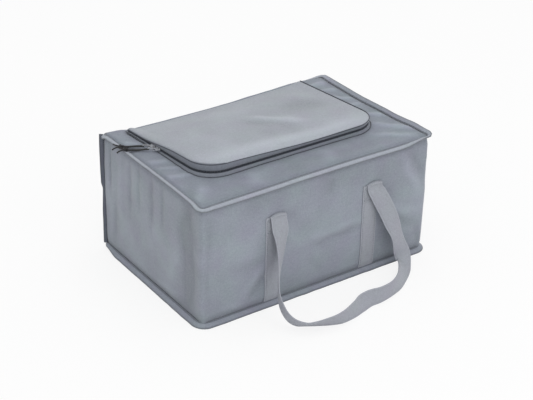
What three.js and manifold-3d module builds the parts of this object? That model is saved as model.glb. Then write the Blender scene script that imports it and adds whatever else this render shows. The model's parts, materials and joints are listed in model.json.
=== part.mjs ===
// A collapsible insulated carrying bag: cloth walls over foam, a U-shaped zip lid and two webbing handles.
// Millimetres, +Z up. X runs along the front from left to right, Y from the front to the back.
// The origin is the centre of the bag's underside.

import * as THREE from "three";
import { mergeVertices } from "three/addons/utils/BufferGeometryUtils.js";
import Module from "manifold-3d";

const wasm = await Module();
wasm.setup();

// The bag's body
const bagLength = 450;
const bagDepth = 300;
const bagHeight = 220;
const foldRadius = 14;

// Layers of the walls, from the outside in
const clothThickness = 0.8;
const foamThickness = 5;
const liningThickness = 0.5;
const boardThickness = 3;
const layerGap = 0.3;

// Bound seams round the top, the bottom and the back corners
const bindingWidth = 10;
const bindingTape = 0.7;

// How deep a corner hem is rooted in the cloth, as a share of its thickness
const hemRootShare = 0.75;

// The zip lid
const lidWidth = 352;
const lidFrontMargin = 68;
const lidHingeMargin = 9;
const lidCornerRadius = 45;
const lidLean = 15;
const lidEdgeOverhang = 1;
const lidFoamInset = 6;
const lidLiningInset = 5.4;
const lidFlapDepth = 9;

// The zip band that stands between the lid and the top panel
const bandFrontHeight = 17;
const bandBackHeight = 7.5;
const tapeThickness = 0.7;
const tapeSeat = 2;
const toothPitch = 4;
const toothHeight = 1.6;
const toothSpine = 0.8;
const rowThickness = 2.2;

// The shape of one tooth of the zip, as shares of the pitch
const lowerToothShares = [0.04, 0.11, 0.41, 0.48];
const upperToothShares = [0.54, 0.61, 0.91, 0.98];

// The two zip sliders, nose to nose on the lid's left side
const sliderPlace = 50;
const sliderLength = 12;
const sliderNoseHeight = 6.6;
const sliderTailHeight = 5.6;
const sliderPlate = 1.2;
const sliderSpacing = 2;
const sliderBridgeLength = 2;
const sliderBridgeHeight = 1.2;
const sliderLipHeight = 1.1;
const sliderCornerRadius = 1.4;
const bailLength = 8.4;
const bailReach = 3.6;
const bailBar = 1.3;
const bailHeight = 1.2;

// The pull on each slider: a metal tab, a doubled cord and a knot with two tails
const tabLength = 16;
const tabWidth = 5;
const tabThickness = 1;
const tabSlotLength = 6.8;
const tabSlotWidth = 2;
const tabEyeDiameter = 2.4;
const tabEyeMargin = 2.6;
const pullAngle = 35;
const cordDiameter = 3.2;
const cordHeight = 4;
const knotWidth = 7;
const knotHeight = 4.6;
const tailDiameter = 1.8;
const tailLength = 17;

// The webbing handles
const webbingWidth = 30;
const webbingThickness = 1.6;
const strapSpacing = 195;
const strapShift = 6;
const loopShift = 7;
const attachHeight = 165;
const tackHeight = 30;
const loopReach = 104;
const loopRestGap = 0.6;
const loopSeatGap = 0.35;

// Number of straight steps in the rounded shapes
const cornerSteps = 7;
const loopSteps = 76;
const cordSteps = 12;
const cordSides = 8;

// Overrun that carries a cut clean through a piece
const cutOverrun = 5;

// Places that the sizes above settle
const halfLength = bagLength / 2;
const halfDepth = bagDepth / 2;
const wallFoamInset = clothThickness + layerGap;
const wallLiningInset = wallFoamInset + foamThickness + layerGap;
const insideInset = wallLiningInset + liningThickness;
const hemRise = bindingTape + layerGap;
const hemReach = bindingWidth - bindingTape - layerGap;
const bindingHeight = 2 * hemRise + clothThickness;
const wallLow = hemRise + clothThickness + layerGap;
const wallHigh = bagHeight - wallLow;
const cornerLow = bindingHeight + layerGap;
const cornerHigh = bagHeight - cornerLow;
const boardLow = clothThickness + layerGap;
const baseFoamLow = boardLow + boardThickness + layerGap;
const baseLiningLow = baseFoamLow + foamThickness + layerGap;
const wallLiningLow = baseLiningLow + liningThickness + layerGap;
const topFoamDepth = clothThickness + layerGap;
const topLiningDepth = topFoamDepth + foamThickness + layerGap;
const wallLiningHigh = bagHeight - topLiningDepth - liningThickness - layerGap;

const lidFront = lidFrontMargin - halfDepth;
const hingeY = halfDepth - lidHingeMargin;
const zipEnd = hingeY - lidFlapDepth;
const bandSlope = (bandBackHeight - bandFrontHeight) / (zipEnd - lidFront);
const rowHalfHeight = toothSpine + (toothHeight + layerGap) / 2;

const outerPlateFace = rowThickness / 2 + layerGap;
const bailFace = outerPlateFace + sliderPlate;
const pivotReach = bailFace + (bailReach - bailBar) / 2;

const strapFace = halfDepth + webbingThickness;
const loopY = strapFace + loopSeatGap + webbingThickness / 2;
const loopZ = attachHeight;

const paint = {
  cloth: { color: 0x8b919b, roughness: 0.85, metalness: 0 },
  lidCloth: { color: 0xa3a8b0, roughness: 0.85, metalness: 0 },
  binding: { color: 0x6f747e, roughness: 0.9, metalness: 0 },
  webbing: { color: 0x959ba4, roughness: 0.9, metalness: 0 },
  zip: { color: 0x3f434b, roughness: 0.7, metalness: 0 },
  foam: { color: 0xe9e9e6, roughness: 0.95, metalness: 0 },
  lining: { color: 0xc9ccd0, roughness: 0.35, metalness: 0.6 },
  board: { color: 0x4a4d52, roughness: 0.7, metalness: 0 },
  metal: { color: 0xb9bcc0, roughness: 0.3, metalness: 1 },
  cord: { color: 0x17181a, roughness: 0.9, metalness: 0 },
};

const bag = new THREE.Group();

// Closed geometry as a solid that can be joined and cut.
function solidOf(geometry) {
  const bare = geometry.clone();
  bare.deleteAttribute("normal");
  bare.deleteAttribute("uv");
  const merged = mergeVertices(bare);
  const mesh = new wasm.Mesh({
    numProp: 3,
    vertProperties: merged.attributes.position.array,
    triVerts: new Uint32Array(merged.index.array),
  });
  return new wasm.Manifold(mesh);
}

// The solid's surface as geometry for a mesh.
function geometryOf(solid) {
  const mesh = solid.getMesh();
  const geometry = new THREE.BufferGeometry();
  const position = new THREE.BufferAttribute(new Float32Array(mesh.vertProperties), 3);
  geometry.setAttribute("position", position);
  geometry.setIndex(new THREE.BufferAttribute(new Uint32Array(mesh.triVerts), 1));
  return geometry;
}

function addPiece(name, geometry, look, matrix) {
  const flat = geometry.index ? geometry.toNonIndexed() : geometry;
  flat.computeVertexNormals();
  const mesh = new THREE.Mesh(flat, new THREE.MeshStandardMaterial(look));
  mesh.name = name;
  if (matrix) {
    matrix.decompose(mesh.position, mesh.quaternion, mesh.scale);
  }
  bag.add(mesh);
}

// Moves each side of a polygon outwards; the corners run anticlockwise.
function offsetCorners(corners, distance) {
  const sides = corners.map((from, i) => {
    const to = corners[(i + 1) % corners.length];
    const along = to.clone().sub(from).normalize();
    const outward = new THREE.Vector2(along.y, -along.x);
    return { point: from.clone().addScaledVector(outward, distance), along };
  });
  return sides.map((side, i) => {
    const before = sides[(i + sides.length - 1) % sides.length];
    const gap = side.point.clone().sub(before.point);
    const turn = before.along.cross(side.along);
    return before.point.clone().addScaledVector(before.along, gap.cross(side.along) / turn);
  });
}

// Rounds the corners of a polygon with arcs that meet its sides smoothly.
function rounded(corners, radii) {
  const points = [];
  corners.forEach((corner, i) => {
    const radius = radii[i];
    if (radius <= 0) {
      points.push(corner.clone());
      return;
    }
    const before = corners[(i + corners.length - 1) % corners.length];
    const after = corners[(i + 1) % corners.length];
    const back = before.clone().sub(corner).normalize();
    const ahead = after.clone().sub(corner).normalize();
    const halfAngle = Math.acos(back.dot(ahead)) / 2;
    const middle = back.clone().add(ahead).normalize();
    const centre = corner.clone().addScaledVector(middle, radius / Math.sin(halfAngle));
    const start = corner.clone().addScaledVector(back, radius / Math.tan(halfAngle));
    const spoke = start.sub(centre);
    const sweep = Math.PI - 2 * halfAngle;
    for (let step = 0; step <= cornerSteps; step++) {
      const turned = spoke.clone().rotateAround(new THREE.Vector2(), (sweep * step) / cornerSteps);
      points.push(centre.clone().add(turned));
    }
  });
  return points;
}

// The bag's outline seen from above, grown by a distance.
function footprint(growth) {
  const corners = [
    new THREE.Vector2(-halfLength, -halfDepth),
    new THREE.Vector2(halfLength, -halfDepth),
    new THREE.Vector2(halfLength, halfDepth),
    new THREE.Vector2(-halfLength, halfDepth),
  ];
  const front = foldRadius + growth;
  return rounded(offsetCorners(corners, growth), [front, front, growth, growth]);
}

// The lid's outline seen from above, grown by a distance and ending at a place along Y.
function lidCorners(growth, end) {
  const leanAt = (y) => (lidLean * (y - lidFront)) / (hingeY - lidFront);
  const corners = [
    new THREE.Vector2(-lidWidth / 2, lidFront),
    new THREE.Vector2(lidWidth / 2, lidFront),
    new THREE.Vector2(lidWidth / 2 - leanAt(hingeY), hingeY),
    new THREE.Vector2(-lidWidth / 2 - leanAt(hingeY), hingeY),
  ];
  const grown = offsetCorners(corners, growth);
  const cut = (front, back) => {
    const share = (end - front.y) / (back.y - front.y);
    return front.clone().lerp(back, share);
  };
  return [grown[0], grown[1], cut(grown[1], grown[2]), cut(grown[0], grown[3])];
}

function lidOutline(growth, end) {
  const radius = lidCornerRadius + growth;
  return rounded(lidCorners(growth, end), [radius, radius, 0, 0]);
}

// The line of the zip: down the lid's left side, along its front and up its right side.
function zipPath() {
  const ring = lidOutline(0, zipEnd);
  return [ring[ring.length - 1], ...ring.slice(0, ring.length - 1)];
}

function bandHeightAt(y) {
  return bandFrontHeight + bandSlope * (y - lidFront);
}

function plate(outline, thickness, low) {
  const shape = new THREE.Shape(outline);
  const geometry = new THREE.ExtrudeGeometry(shape, { depth: thickness, bevelEnabled: false });
  return geometry.translate(0, 0, low);
}

function block(x0, x1, y0, y1, z0, z1) {
  const geometry = new THREE.BoxGeometry(x1 - x0, y1 - y0, z1 - z0);
  return geometry.translate((x0 + x1) / 2, (y0 + y1) / 2, (z0 + z1) / 2);
}

// Skins a row of equal rings and closes its two ends.
function loft(rings) {
  const count = rings[0].length;
  const positions = rings.flat().flatMap((point) => point.toArray());
  const faces = [];
  for (let i = 0; i + 1 < rings.length; i++) {
    for (let j = 0; j < count; j++) {
      const a = i * count + j;
      const b = i * count + ((j + 1) % count);
      faces.push(a, b, b + count, a, b + count, a + count);
    }
  }
  const last = (rings.length - 1) * count;
  for (let j = 1; j + 1 < count; j++) {
    faces.push(0, j + 1, j);
    faces.push(last, last + j, last + j + 1);
  }
  return closedGeometry(positions, faces);
}

// Builds geometry whose faces point outwards, whichever way they were listed.
function closedGeometry(positions, faces) {
  const corner = (i) => new THREE.Vector3().fromArray(positions, 3 * i);
  let volume = 0;
  for (let i = 0; i < faces.length; i += 3) {
    volume += corner(faces[i]).dot(corner(faces[i + 1]).cross(corner(faces[i + 2])));
  }
  if (volume < 0) {
    faces.reverse();
  }
  const geometry = new THREE.BufferGeometry();
  geometry.setAttribute("position", new THREE.BufferAttribute(new Float32Array(positions), 3));
  geometry.setIndex(faces);
  return geometry;
}

// A strip that stands on edge along a path seen from above.
// For each straight stretch, profileOf gives the strip's lower and upper edge as [share along it, height].
function standingStrip(path, thickness, profileOf) {
  const outwards = path.map((point, i) => {
    const before = path[Math.max(i - 1, 0)];
    const after = path[Math.min(i + 1, path.length - 1)];
    const arrive = i > 0 ? point.clone().sub(before).normalize() : null;
    const leave = i + 1 < path.length ? after.clone().sub(point).normalize() : null;
    const first = arrive ?? leave;
    const second = leave ?? arrive;
    const mean = first.clone().add(second).normalize();
    return new THREE.Vector2(mean.y, -mean.x).divideScalar(mean.dot(first));
  });
  const positions = [];
  const faces = [];
  const seen = new Map();
  const vertex = (i, share, height, side) => {
    const atCorner = share === 0 || share === 1;
    const place = atCorner ? `${i + share}` : `${i}:${share}`;
    const key = `${place}:${height}:${side}`;
    if (!seen.has(key)) {
      const at = path[i].clone().lerp(path[i + 1], share);
      const out = outwards[i].clone().lerp(outwards[i + 1], share);
      at.addScaledVector(out, (side * thickness) / 2);
      seen.set(key, positions.length / 3);
      positions.push(at.x, at.y, height);
    }
    return seen.get(key);
  };
  for (let i = 0; i + 1 < path.length; i++) {
    const length = path[i].distanceTo(path[i + 1]);
    const { lower, upper } = profileOf(path[i], path[i + 1], i);
    const rim = [...lower, ...upper.slice().reverse()];
    const flat = rim.map(([share, height]) => new THREE.Vector2(share * length, height));
    const outer = rim.map(([share, height]) => vertex(i, share, height, 1));
    const inner = rim.map(([share, height]) => vertex(i, share, height, -1));
    for (const [a, b, c] of THREE.ShapeUtils.triangulateShape(flat, [])) {
      faces.push(outer[a], outer[b], outer[c]);
      faces.push(inner[a], inner[c], inner[b]);
    }
    for (let j = 0; j < rim.length; j++) {
      const k = (j + 1) % rim.length;
      const atStart = rim[j][0] === 0 && rim[k][0] === 0;
      const atEnd = rim[j][0] === 1 && rim[k][0] === 1;
      const inside = (atStart && i > 0) || (atEnd && i + 2 < path.length);
      if (!inside) {
        faces.push(outer[j], inner[j], inner[k], outer[j], inner[k], outer[k]);
      }
    }
  }
  return closedGeometry(positions, faces);
}

// A panel whose rim steps inwards from its face, so that the binding tape can fold round it.
function hemmedPanel(face, inward) {
  const layer = (outline, offset, thickness) => {
    const low = inward > 0 ? face + offset : face - offset - thickness;
    return solidOf(plate(outline, thickness, low));
  };
  const inside = layer(footprint(-clothThickness), clothThickness, hemRise + cutOverrun);
  const sheet = layer(footprint(0), 0, hemRise + clothThickness);
  const rim = layer(footprint(hemReach), hemRise, clothThickness);
  return sheet.add(rim).subtract(inside);
}

// Binding tape folded round the rim of the top or the bottom panel.
function boundRim(low) {
  const whole = solidOf(plate(footprint(bindingWidth), bindingHeight, low));
  const slotLow = low + bindingTape;
  const slotHeight = bindingHeight - 2 * bindingTape;
  const slot = solidOf(plate(footprint(bindingWidth - bindingTape), slotHeight, slotLow));
  const tall = bindingHeight + 2 * cutOverrun;
  const hole = solidOf(plate(footprint(layerGap), tall, low - cutOverrun));
  return whole.subtract(slot).subtract(hole);
}

function addBase() {
  const board = plate(footprint(-wallFoamInset), boardThickness, boardLow);
  const x = halfLength - wallLiningInset;
  const y = halfDepth - wallLiningInset;
  addPiece("base_panel", geometryOf(hemmedPanel(0, 1)), paint.cloth);
  addPiece("bottom_binding", geometryOf(boundRim(0)), paint.binding);
  addPiece("base_board", board, paint.board);
  addPiece("base_foam", block(-x, x, -y, y, baseFoamLow, baseFoamLow + foamThickness), paint.foam);
  addPiece("base_lining", block(-x, x, -y, y, baseLiningLow, baseLiningLow + liningThickness), paint.lining);
}

// A flat bar seen from above that runs out diagonally from a back corner.
function diagonalBar(side, start, end, thickness) {
  const corner = new THREE.Vector2(side * halfLength, halfDepth);
  const along = new THREE.Vector2(side, 1).normalize();
  const across = new THREE.Vector2(-along.y, along.x).multiplyScalar(thickness / 2);
  const from = corner.clone().addScaledVector(along, start);
  const to = corner.clone().addScaledVector(along, end);
  return [
    from.clone().sub(across),
    to.clone().sub(across),
    to.clone().add(across),
    from.clone().add(across),
  ];
}

// One sheet of cloth folded round the left end, the front and the right end.
// It has a hem at each back corner.
function addSideWrap() {
  const height = wallHigh - wallLow;
  const corners = footprint(0);
  const outside = solidOf(plate(corners, height, wallLow));
  const tall = height + 2 * cutOverrun;
  const inside = solidOf(plate(footprint(-clothThickness), tall, wallLow - cutOverrun));
  const backSpan = halfLength - clothThickness;
  const backLow = halfDepth - clothThickness - layerGap;
  const backCut = block(
    -backSpan,
    backSpan,
    backLow - foldRadius,
    halfDepth + cutOverrun,
    wallLow - cutOverrun,
    wallHigh + cutOverrun,
  );
  let wrap = outside.subtract(inside).subtract(solidOf(backCut));
  for (const side of [-1, 1]) {
    const hemOutline = diagonalBar(side, -hemRootShare * clothThickness, hemReach, clothThickness);
    wrap = wrap.add(solidOf(plate(hemOutline, cornerHigh - cornerLow, cornerLow)));
  }
  addPiece("side_wrap", geometryOf(wrap), paint.cloth);
}

function addBackWall() {
  const x = halfLength - clothThickness - layerGap - clothThickness;
  addPiece(
    "back_panel",
    block(-x, x, halfDepth - clothThickness, halfDepth, wallLow, wallHigh),
    paint.cloth,
  );
  const tapeSpan = clothThickness + 2 * hemRise;
  const low = cornerLow;
  const height = cornerHigh - cornerLow;
  const start = tapeSpan / 2 + layerGap * Math.SQRT2;
  for (const [name, side] of [["back_left_binding", -1], ["back_right_binding", 1]]) {
    const whole = solidOf(plate(diagonalBar(side, start, bindingWidth, tapeSpan), height, low));
    const slotWidth = tapeSpan - 2 * bindingTape;
    const slotOutline = diagonalBar(side, 0, bindingWidth - bindingTape, slotWidth);
    const slot = solidOf(plate(slotOutline, height + 2 * cutOverrun, low - cutOverrun));
    addPiece(name, geometryOf(whole.subtract(slot)), paint.binding);
  }
}

function addWallFoams() {
  const outerX = halfLength - wallFoamInset;
  const outerY = halfDepth - wallFoamInset;
  const innerX = outerX - foamThickness;
  const innerY = outerY - foamThickness;
  const low = baseFoamLow;
  const high = bagHeight - topFoamDepth;
  const frontSpan = halfLength - foldRadius;
  const sideFront = foldRadius - halfDepth;
  const sideBack = innerY - layerGap;
  addPiece("front_foam", block(-frontSpan, frontSpan, -outerY, -innerY, low, high), paint.foam);
  addPiece("back_foam", block(-outerX, outerX, innerY, outerY, low, high), paint.foam);
  addPiece("left_foam", block(-outerX, -innerX, sideFront, sideBack, low, high), paint.foam);
  addPiece("right_foam", block(innerX, outerX, sideFront, sideBack, low, high), paint.foam);
}

function addWallLining() {
  const x = halfLength - wallLiningInset;
  const y = halfDepth - wallLiningInset;
  const outside = solidOf(block(-x, x, -y, y, wallLiningLow, wallLiningHigh));
  const inX = halfLength - insideInset;
  const inY = halfDepth - insideInset;
  const hole = block(
    -inX,
    inX,
    -inY,
    inY,
    wallLiningLow - cutOverrun,
    wallLiningHigh + cutOverrun,
  );
  addPiece("wall_lining", geometryOf(outside.subtract(solidOf(hole))), paint.lining);
}

// The top panel frames the mouth: broad at the front and the sides, a narrow strip at the hinge.
function addTop() {
  const depth = foldRadius + cutOverrun;
  const mouth = solidOf(plate(lidOutline(-tapeSeat, hingeY), 2 * depth, bagHeight - depth));
  addPiece("top_panel", geometryOf(hemmedPanel(bagHeight, -1).subtract(mouth)), paint.cloth);
  addPiece("top_binding", geometryOf(boundRim(bagHeight - bindingHeight)), paint.binding);
  const x = halfLength - wallLiningInset;
  const y = halfDepth - wallLiningInset;
  const openMouth = solidOf(plate(lidOutline(-tapeSeat, halfDepth), 2 * depth, bagHeight - depth));
  const foamLow = bagHeight - topFoamDepth - foamThickness;
  const foam = solidOf(block(-x, x, -y, y, foamLow, foamLow + foamThickness));
  addPiece("top_foam", geometryOf(foam.subtract(openMouth)), paint.foam);
  const liningLow = bagHeight - topLiningDepth - liningThickness;
  const lining = solidOf(block(-x, x, -y, y, liningLow, liningLow + liningThickness));
  addPiece("top_lining", geometryOf(lining.subtract(openMouth)), paint.lining);
}

// A tape stands on edge between two heights that follow the band.
function tapeStrip(lowOf, highOf) {
  return standingStrip(zipPath(), tapeThickness, (from, to) => ({
    lower: [[0, lowOf(from.y)], [1, lowOf(to.y)]],
    upper: [[0, highOf(from.y)], [1, highOf(to.y)]],
  }));
}

function bandMiddleAt(y) {
  return bagHeight + bandHeightAt(y) / 2;
}

// One row of zip teeth on its spine.
// Rise is 1 for the row that points up, and -1 for the one that points down.
function toothRow(rise, toothShares) {
  const rootOffset = rise * (toothSpine - rowHalfHeight);
  const tipOffset = rootOffset + rise * toothHeight;
  const spineOffset = -rise * rowHalfHeight;
  const bridgeEnd = sliderSpacing / 2 + sliderCornerRadius + sliderBridgeLength;
  const parted = bridgeEnd + layerGap + toothPitch / 4;
  return standingStrip(zipPath(), rowThickness, (from, to) => {
    const at = (share) => from.y + (to.y - from.y) * share;
    const length = from.distanceTo(to);
    const cells = Math.max(1, Math.round(length / toothPitch));
    const spine = [0, 1].map((share) => [share, bandMiddleAt(at(share)) + spineOffset]);
    const edge = [[0, bandMiddleAt(from.y) + rootOffset]];
    for (let cell = 0; cell < cells; cell++) {
      const centre = at((cell + toothShares[1]) / cells);
      const onLeftRun = from.x < 0 && to.y < from.y - lidCornerRadius;
      if (onLeftRun && Math.abs(centre - sliderPlace) < parted) {
        continue;
      }
      toothShares.forEach((place, k) => {
        const share = (cell + place) / cells;
        const offset = k === 1 || k === 2 ? tipOffset : rootOffset;
        edge.push([share, bandMiddleAt(at(share)) + offset]);
      });
    }
    edge.push([1, bandMiddleAt(to.y) + rootOffset]);
    return rise > 0 ? { lower: spine, upper: edge } : { lower: edge, upper: spine };
  });
}

function addZip() {
  const panelTop = () => bagHeight + layerGap;
  const lowerRowFoot = (y) => bandMiddleAt(y) - rowHalfHeight - layerGap;
  const upperRowHead = (y) => bandMiddleAt(y) + rowHalfHeight + layerGap;
  const lidUnderside = (y) => bagHeight + bandHeightAt(y) - layerGap;
  addPiece("zip_tape_lower", tapeStrip(panelTop, lowerRowFoot), paint.zip);
  addPiece("zip_tape_upper", tapeStrip(upperRowHead, lidUnderside), paint.zip);
  addPiece("zip_teeth_lower", toothRow(1, lowerToothShares), paint.zip);
  addPiece("zip_teeth_upper", toothRow(-1, upperToothShares), paint.zip);
}

// Tilts a flat plate so that its height follows a slope along Y from a place of known height.
function tilted(geometry, slope, atY, height) {
  const tilt = new THREE.Matrix4().makeShear(0, 0, 0, slope, 0, 0);
  geometry.applyMatrix4(tilt);
  return geometry.translate(0, 0, height - slope * atY);
}

function lidLayer(growth, end, depth, thickness) {
  const flat = plate(lidOutline(growth, end), thickness, -depth);
  return tilted(flat, bandSlope, lidFront, bagHeight + bandFrontHeight);
}

// The lid slopes down to the back, where a steeper flap of its cloth runs down to the hinge seam.
function addLid() {
  const sheet = solidOf(lidLayer(lidEdgeOverhang, zipEnd, 0, clothThickness));
  const whole = lidCorners(lidEdgeOverhang, hingeY - layerGap);
  const flapFront = lidCorners(lidEdgeOverhang, zipEnd - clothThickness);
  const flapOutline = [flapFront[3], flapFront[2], whole[2], whole[3]];
  const flapLow = bagHeight + layerGap + clothThickness;
  const flapSlope = (flapLow - bagHeight - bandBackHeight) / (lidFlapDepth - layerGap);
  const flap = tilted(
    plate(flapOutline, clothThickness, 0),
    flapSlope,
    zipEnd,
    bagHeight + bandBackHeight,
  );
  const foamDepth = layerGap + foamThickness;
  const liningDepth = foamDepth + layerGap + liningThickness;
  const foamEnd = zipEnd - clothThickness;
  addPiece("lid_panel", geometryOf(sheet.add(solidOf(flap))), paint.lidCloth);
  addPiece("lid_foam", lidLayer(-lidFoamInset, foamEnd, foamDepth, foamThickness), paint.foam);
  addPiece("lid_lining", lidLayer(-lidLiningInset, foamEnd, liningDepth, liningThickness), paint.lining);
}

// The frame of a slider on the lid's left side: X towards the back, Y out of the bag, Z up.
function sliderMatrix(y) {
  const path = zipPath();
  const share = (y - path[0].y) / (path[1].y - path[0].y);
  const at = path[0].clone().lerp(path[1], share);
  const rise = bandMiddleAt(path[0].y) - bandMiddleAt(path[1].y);
  const run = path[0].clone().sub(path[1]);
  const back = new THREE.Vector3(run.x, run.y, rise).normalize();
  const out = new THREE.Vector3(-run.y, run.x, 0).normalize();
  const up = back.clone().cross(out);
  const matrix = new THREE.Matrix4().makeBasis(back, out, up);
  return matrix.setPosition(at.x, at.y, bandMiddleAt(y));
}

// A plate of the slider, high at its nose and lower at its tail, standing between two depths.
function sliderPlateSolid(nose, near) {
  const head = sliderNoseHeight / 2;
  const tail = sliderTailHeight / 2;
  const half = sliderLength / 2;
  const corners = [
    new THREE.Vector2(-half, -tail),
    new THREE.Vector2(half, -head),
    new THREE.Vector2(half, head),
    new THREE.Vector2(-half, tail),
  ];
  const radii = corners.map(() => sliderCornerRadius);
  const flat = plate(rounded(corners, radii), sliderPlate, 0);
  flat.rotateX(Math.PI / 2);
  flat.translate(0, near + sliderPlate, 0);
  if (nose < 0) {
    flat.rotateZ(Math.PI);
    flat.translate(0, 2 * near + sliderPlate, 0);
  }
  return solidOf(flat);
}

// The arch on the slider's face that the pull's tab hangs from.
function bailSolid() {
  const half = bailLength / 2;
  const far = bailFace + bailReach;
  const arch = block(-half, half, bailFace - sliderPlate / 2, far, -bailHeight / 2, bailHeight / 2);
  const inner = half - bailBar;
  const opening = block(-inner, inner, bailFace, far - bailBar, -bailHeight, bailHeight);
  return solidOf(arch).subtract(solidOf(opening));
}

// A slider: two plates beside the teeth, the bridge between the rows, lips below the lower row and the bail.
function sliderGeometry(nose) {
  const inner = -outerPlateFace - sliderPlate;
  const noseEnd = (nose * sliderLength) / 2;
  const bridgeNear = noseEnd - nose * sliderCornerRadius;
  const bridgeFar = bridgeNear - nose * sliderBridgeLength;
  const bridge = block(
    Math.min(bridgeNear, bridgeFar),
    Math.max(bridgeNear, bridgeFar),
    inner + sliderPlate / 2,
    bailFace - sliderPlate / 2,
    -sliderBridgeHeight / 2,
    sliderBridgeHeight / 2,
  );
  let slider = sliderPlateSolid(nose, outerPlateFace).add(sliderPlateSolid(nose, inner));
  slider = slider.add(solidOf(bridge)).add(bailSolid());
  const lipTop = -rowHalfHeight - layerGap;
  const lipReach = tapeThickness / 2 + layerGap;
  const lipHalf = sliderLength / 2 - sliderCornerRadius;
  const lipEnd = outerPlateFace + sliderPlate / 2;
  const lipLow = Math.max(lipTop - sliderLipHeight, -sliderTailHeight / 2);
  for (const side of [-1, 1]) {
    const y0 = Math.min(side * lipReach, side * lipEnd);
    const y1 = Math.max(side * lipReach, side * lipEnd);
    slider = slider.add(solidOf(block(-lipHalf, lipHalf, y0, y1, lipLow, lipTop)));
  }
  return geometryOf(slider);
}

// The tab stands on edge: a slot round the bail at one end and an eye for the cord at the other.
function tabGeometry() {
  const half = tabWidth / 2;
  const start = -(bailReach - bailBar) / 2 + layerGap;
  const corners = [
    new THREE.Vector2(start, -half),
    new THREE.Vector2(tabLength, -half),
    new THREE.Vector2(tabLength, half),
    new THREE.Vector2(start, half),
  ];
  const nearRadius = tabThickness / 2;
  const farRadius = half - layerGap;
  const shape = new THREE.Shape(rounded(corners, [nearRadius, farRadius, farRadius, nearRadius]));
  const slotStart = (bailReach - bailBar) / 2 - layerGap;
  const slotHalf = tabSlotWidth / 2;
  const slot = new THREE.Path([
    new THREE.Vector2(slotStart, -slotHalf),
    new THREE.Vector2(slotStart, slotHalf),
    new THREE.Vector2(slotStart + tabSlotLength, slotHalf),
    new THREE.Vector2(slotStart + tabSlotLength, -slotHalf),
  ]);
  const eye = new THREE.Path();
  eye.absarc(tabLength - tabEyeMargin, 0, tabEyeDiameter / 2, 0, 2 * Math.PI, true);
  shape.holes.push(slot, eye);
  const options = { depth: tabThickness, bevelEnabled: false, curveSegments: cornerSteps };
  const geometry = new THREE.ExtrudeGeometry(shape, options);
  geometry.translate(0, 0, -tabThickness / 2);
  return geometry.rotateX(Math.PI / 2);
}

// The frame of a pull: X along the tab away from the slider, Z up, at the middle of the bail.
function pullMatrix(sliderY) {
  const slider = sliderMatrix(sliderY);
  const pivot = new THREE.Vector3(0, pivotReach, 0).applyMatrix4(slider);
  const turn = Math.PI - (pullAngle * Math.PI) / 180;
  return new THREE.Matrix4().makeRotationZ(turn).setPosition(pivot);
}

// The doubled cord's route from the end of the tab to its knot, in the pull's frame.
// Side is 1 for a pull whose cord bends towards the front of the bag, and -1 for the other.
function cordRoute(side, sliderY) {
  const drop = bagHeight + cordHeight - bandMiddleAt(sliderY);
  return [
    new THREE.Vector3(tabLength + layerGap, 0, 0),
    new THREE.Vector3(tabLength + 3, 0, 0),
    new THREE.Vector3(tabLength + 9, side * 0.8, drop * 0.35),
    new THREE.Vector3(tabLength + 16, side * 1.4, drop * 0.75),
    new THREE.Vector3(tabLength + 24, side * 0.9, drop),
    new THREE.Vector3(tabLength + 31, side * 0.2, drop),
  ];
}

function roundRod(route, diameter, steps) {
  const points = [];
  for (let i = 0; i < cordSides; i++) {
    const angle = (2 * Math.PI * i) / cordSides;
    points.push(new THREE.Vector2(Math.cos(angle), Math.sin(angle)).multiplyScalar(diameter / 2));
  }
  const curve = new THREE.CatmullRomCurve3(route);
  const options = { extrudePath: curve, steps, bevelEnabled: false };
  return new THREE.ExtrudeGeometry(new THREE.Shape(points), options);
}

// The knot with its two tails, which splay apart.
function knotGeometry(side, sliderY) {
  const route = cordRoute(side, sliderY);
  const end = route[route.length - 1];
  const centre = end.clone().add(new THREE.Vector3(knotWidth / 2 + layerGap, 0, 0));
  const ball = new THREE.SphereGeometry(knotWidth / 2, 2 * cordSides, cordSides);
  ball.scale(1, 1, knotHeight / knotWidth);
  ball.translate(centre.x, centre.y, centre.z);
  const flatEnd = block(
    end.x - knotWidth,
    end.x + layerGap,
    end.y - knotWidth,
    end.y + knotWidth,
    end.z - knotWidth,
    end.z + knotWidth,
  );
  let knot = solidOf(ball).subtract(solidOf(flatEnd));
  for (const splay of [-1, 1]) {
    const tail = [
      centre.clone(),
      centre.clone().add(new THREE.Vector3(tailLength / 2, (splay * tailLength) / 7, 0)),
      centre.clone().add(new THREE.Vector3(tailLength, (splay * tailLength) / 3, 0)),
    ];
    knot = knot.add(solidOf(roundRod(tail, tailDiameter, cordSteps / 2)));
  }
  return geometryOf(knot);
}

function addSliders() {
  const offset = (sliderLength + sliderSpacing) / 2;
  const kinds = [
    { name: "front", y: sliderPlace - offset, nose: 1, side: 1 },
    { name: "rear", y: sliderPlace + offset, nose: -1, side: -1 },
  ];
  for (const { name, y, nose, side } of kinds) {
    addPiece(`slider_${name}`, sliderGeometry(nose), paint.metal, sliderMatrix(y));
    const frame = pullMatrix(y);
    addPiece(`pull_tab_${name}`, tabGeometry(), paint.metal, frame);
    addPiece(`pull_cord_${name}`, roundRod(cordRoute(side, y), cordDiameter, cordSteps), paint.cord, frame);
    addPiece(`pull_knot_${name}`, knotGeometry(side, y), paint.cord, frame);
  }
}

// A bar that runs along X, with its profile given in Y and Z.
function sidewaysBar(profile, x0, width) {
  const shape = new THREE.Shape(profile);
  const geometry = new THREE.ExtrudeGeometry(shape, { depth: width, bevelEnabled: false });
  const x = new THREE.Vector3(1, 0, 0);
  const y = new THREE.Vector3(0, 1, 0);
  const z = new THREE.Vector3(0, 0, 1);
  geometry.applyMatrix4(new THREE.Matrix4().makeBasis(y, z, x));
  return geometry.translate(x0, 0, 0);
}

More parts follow.
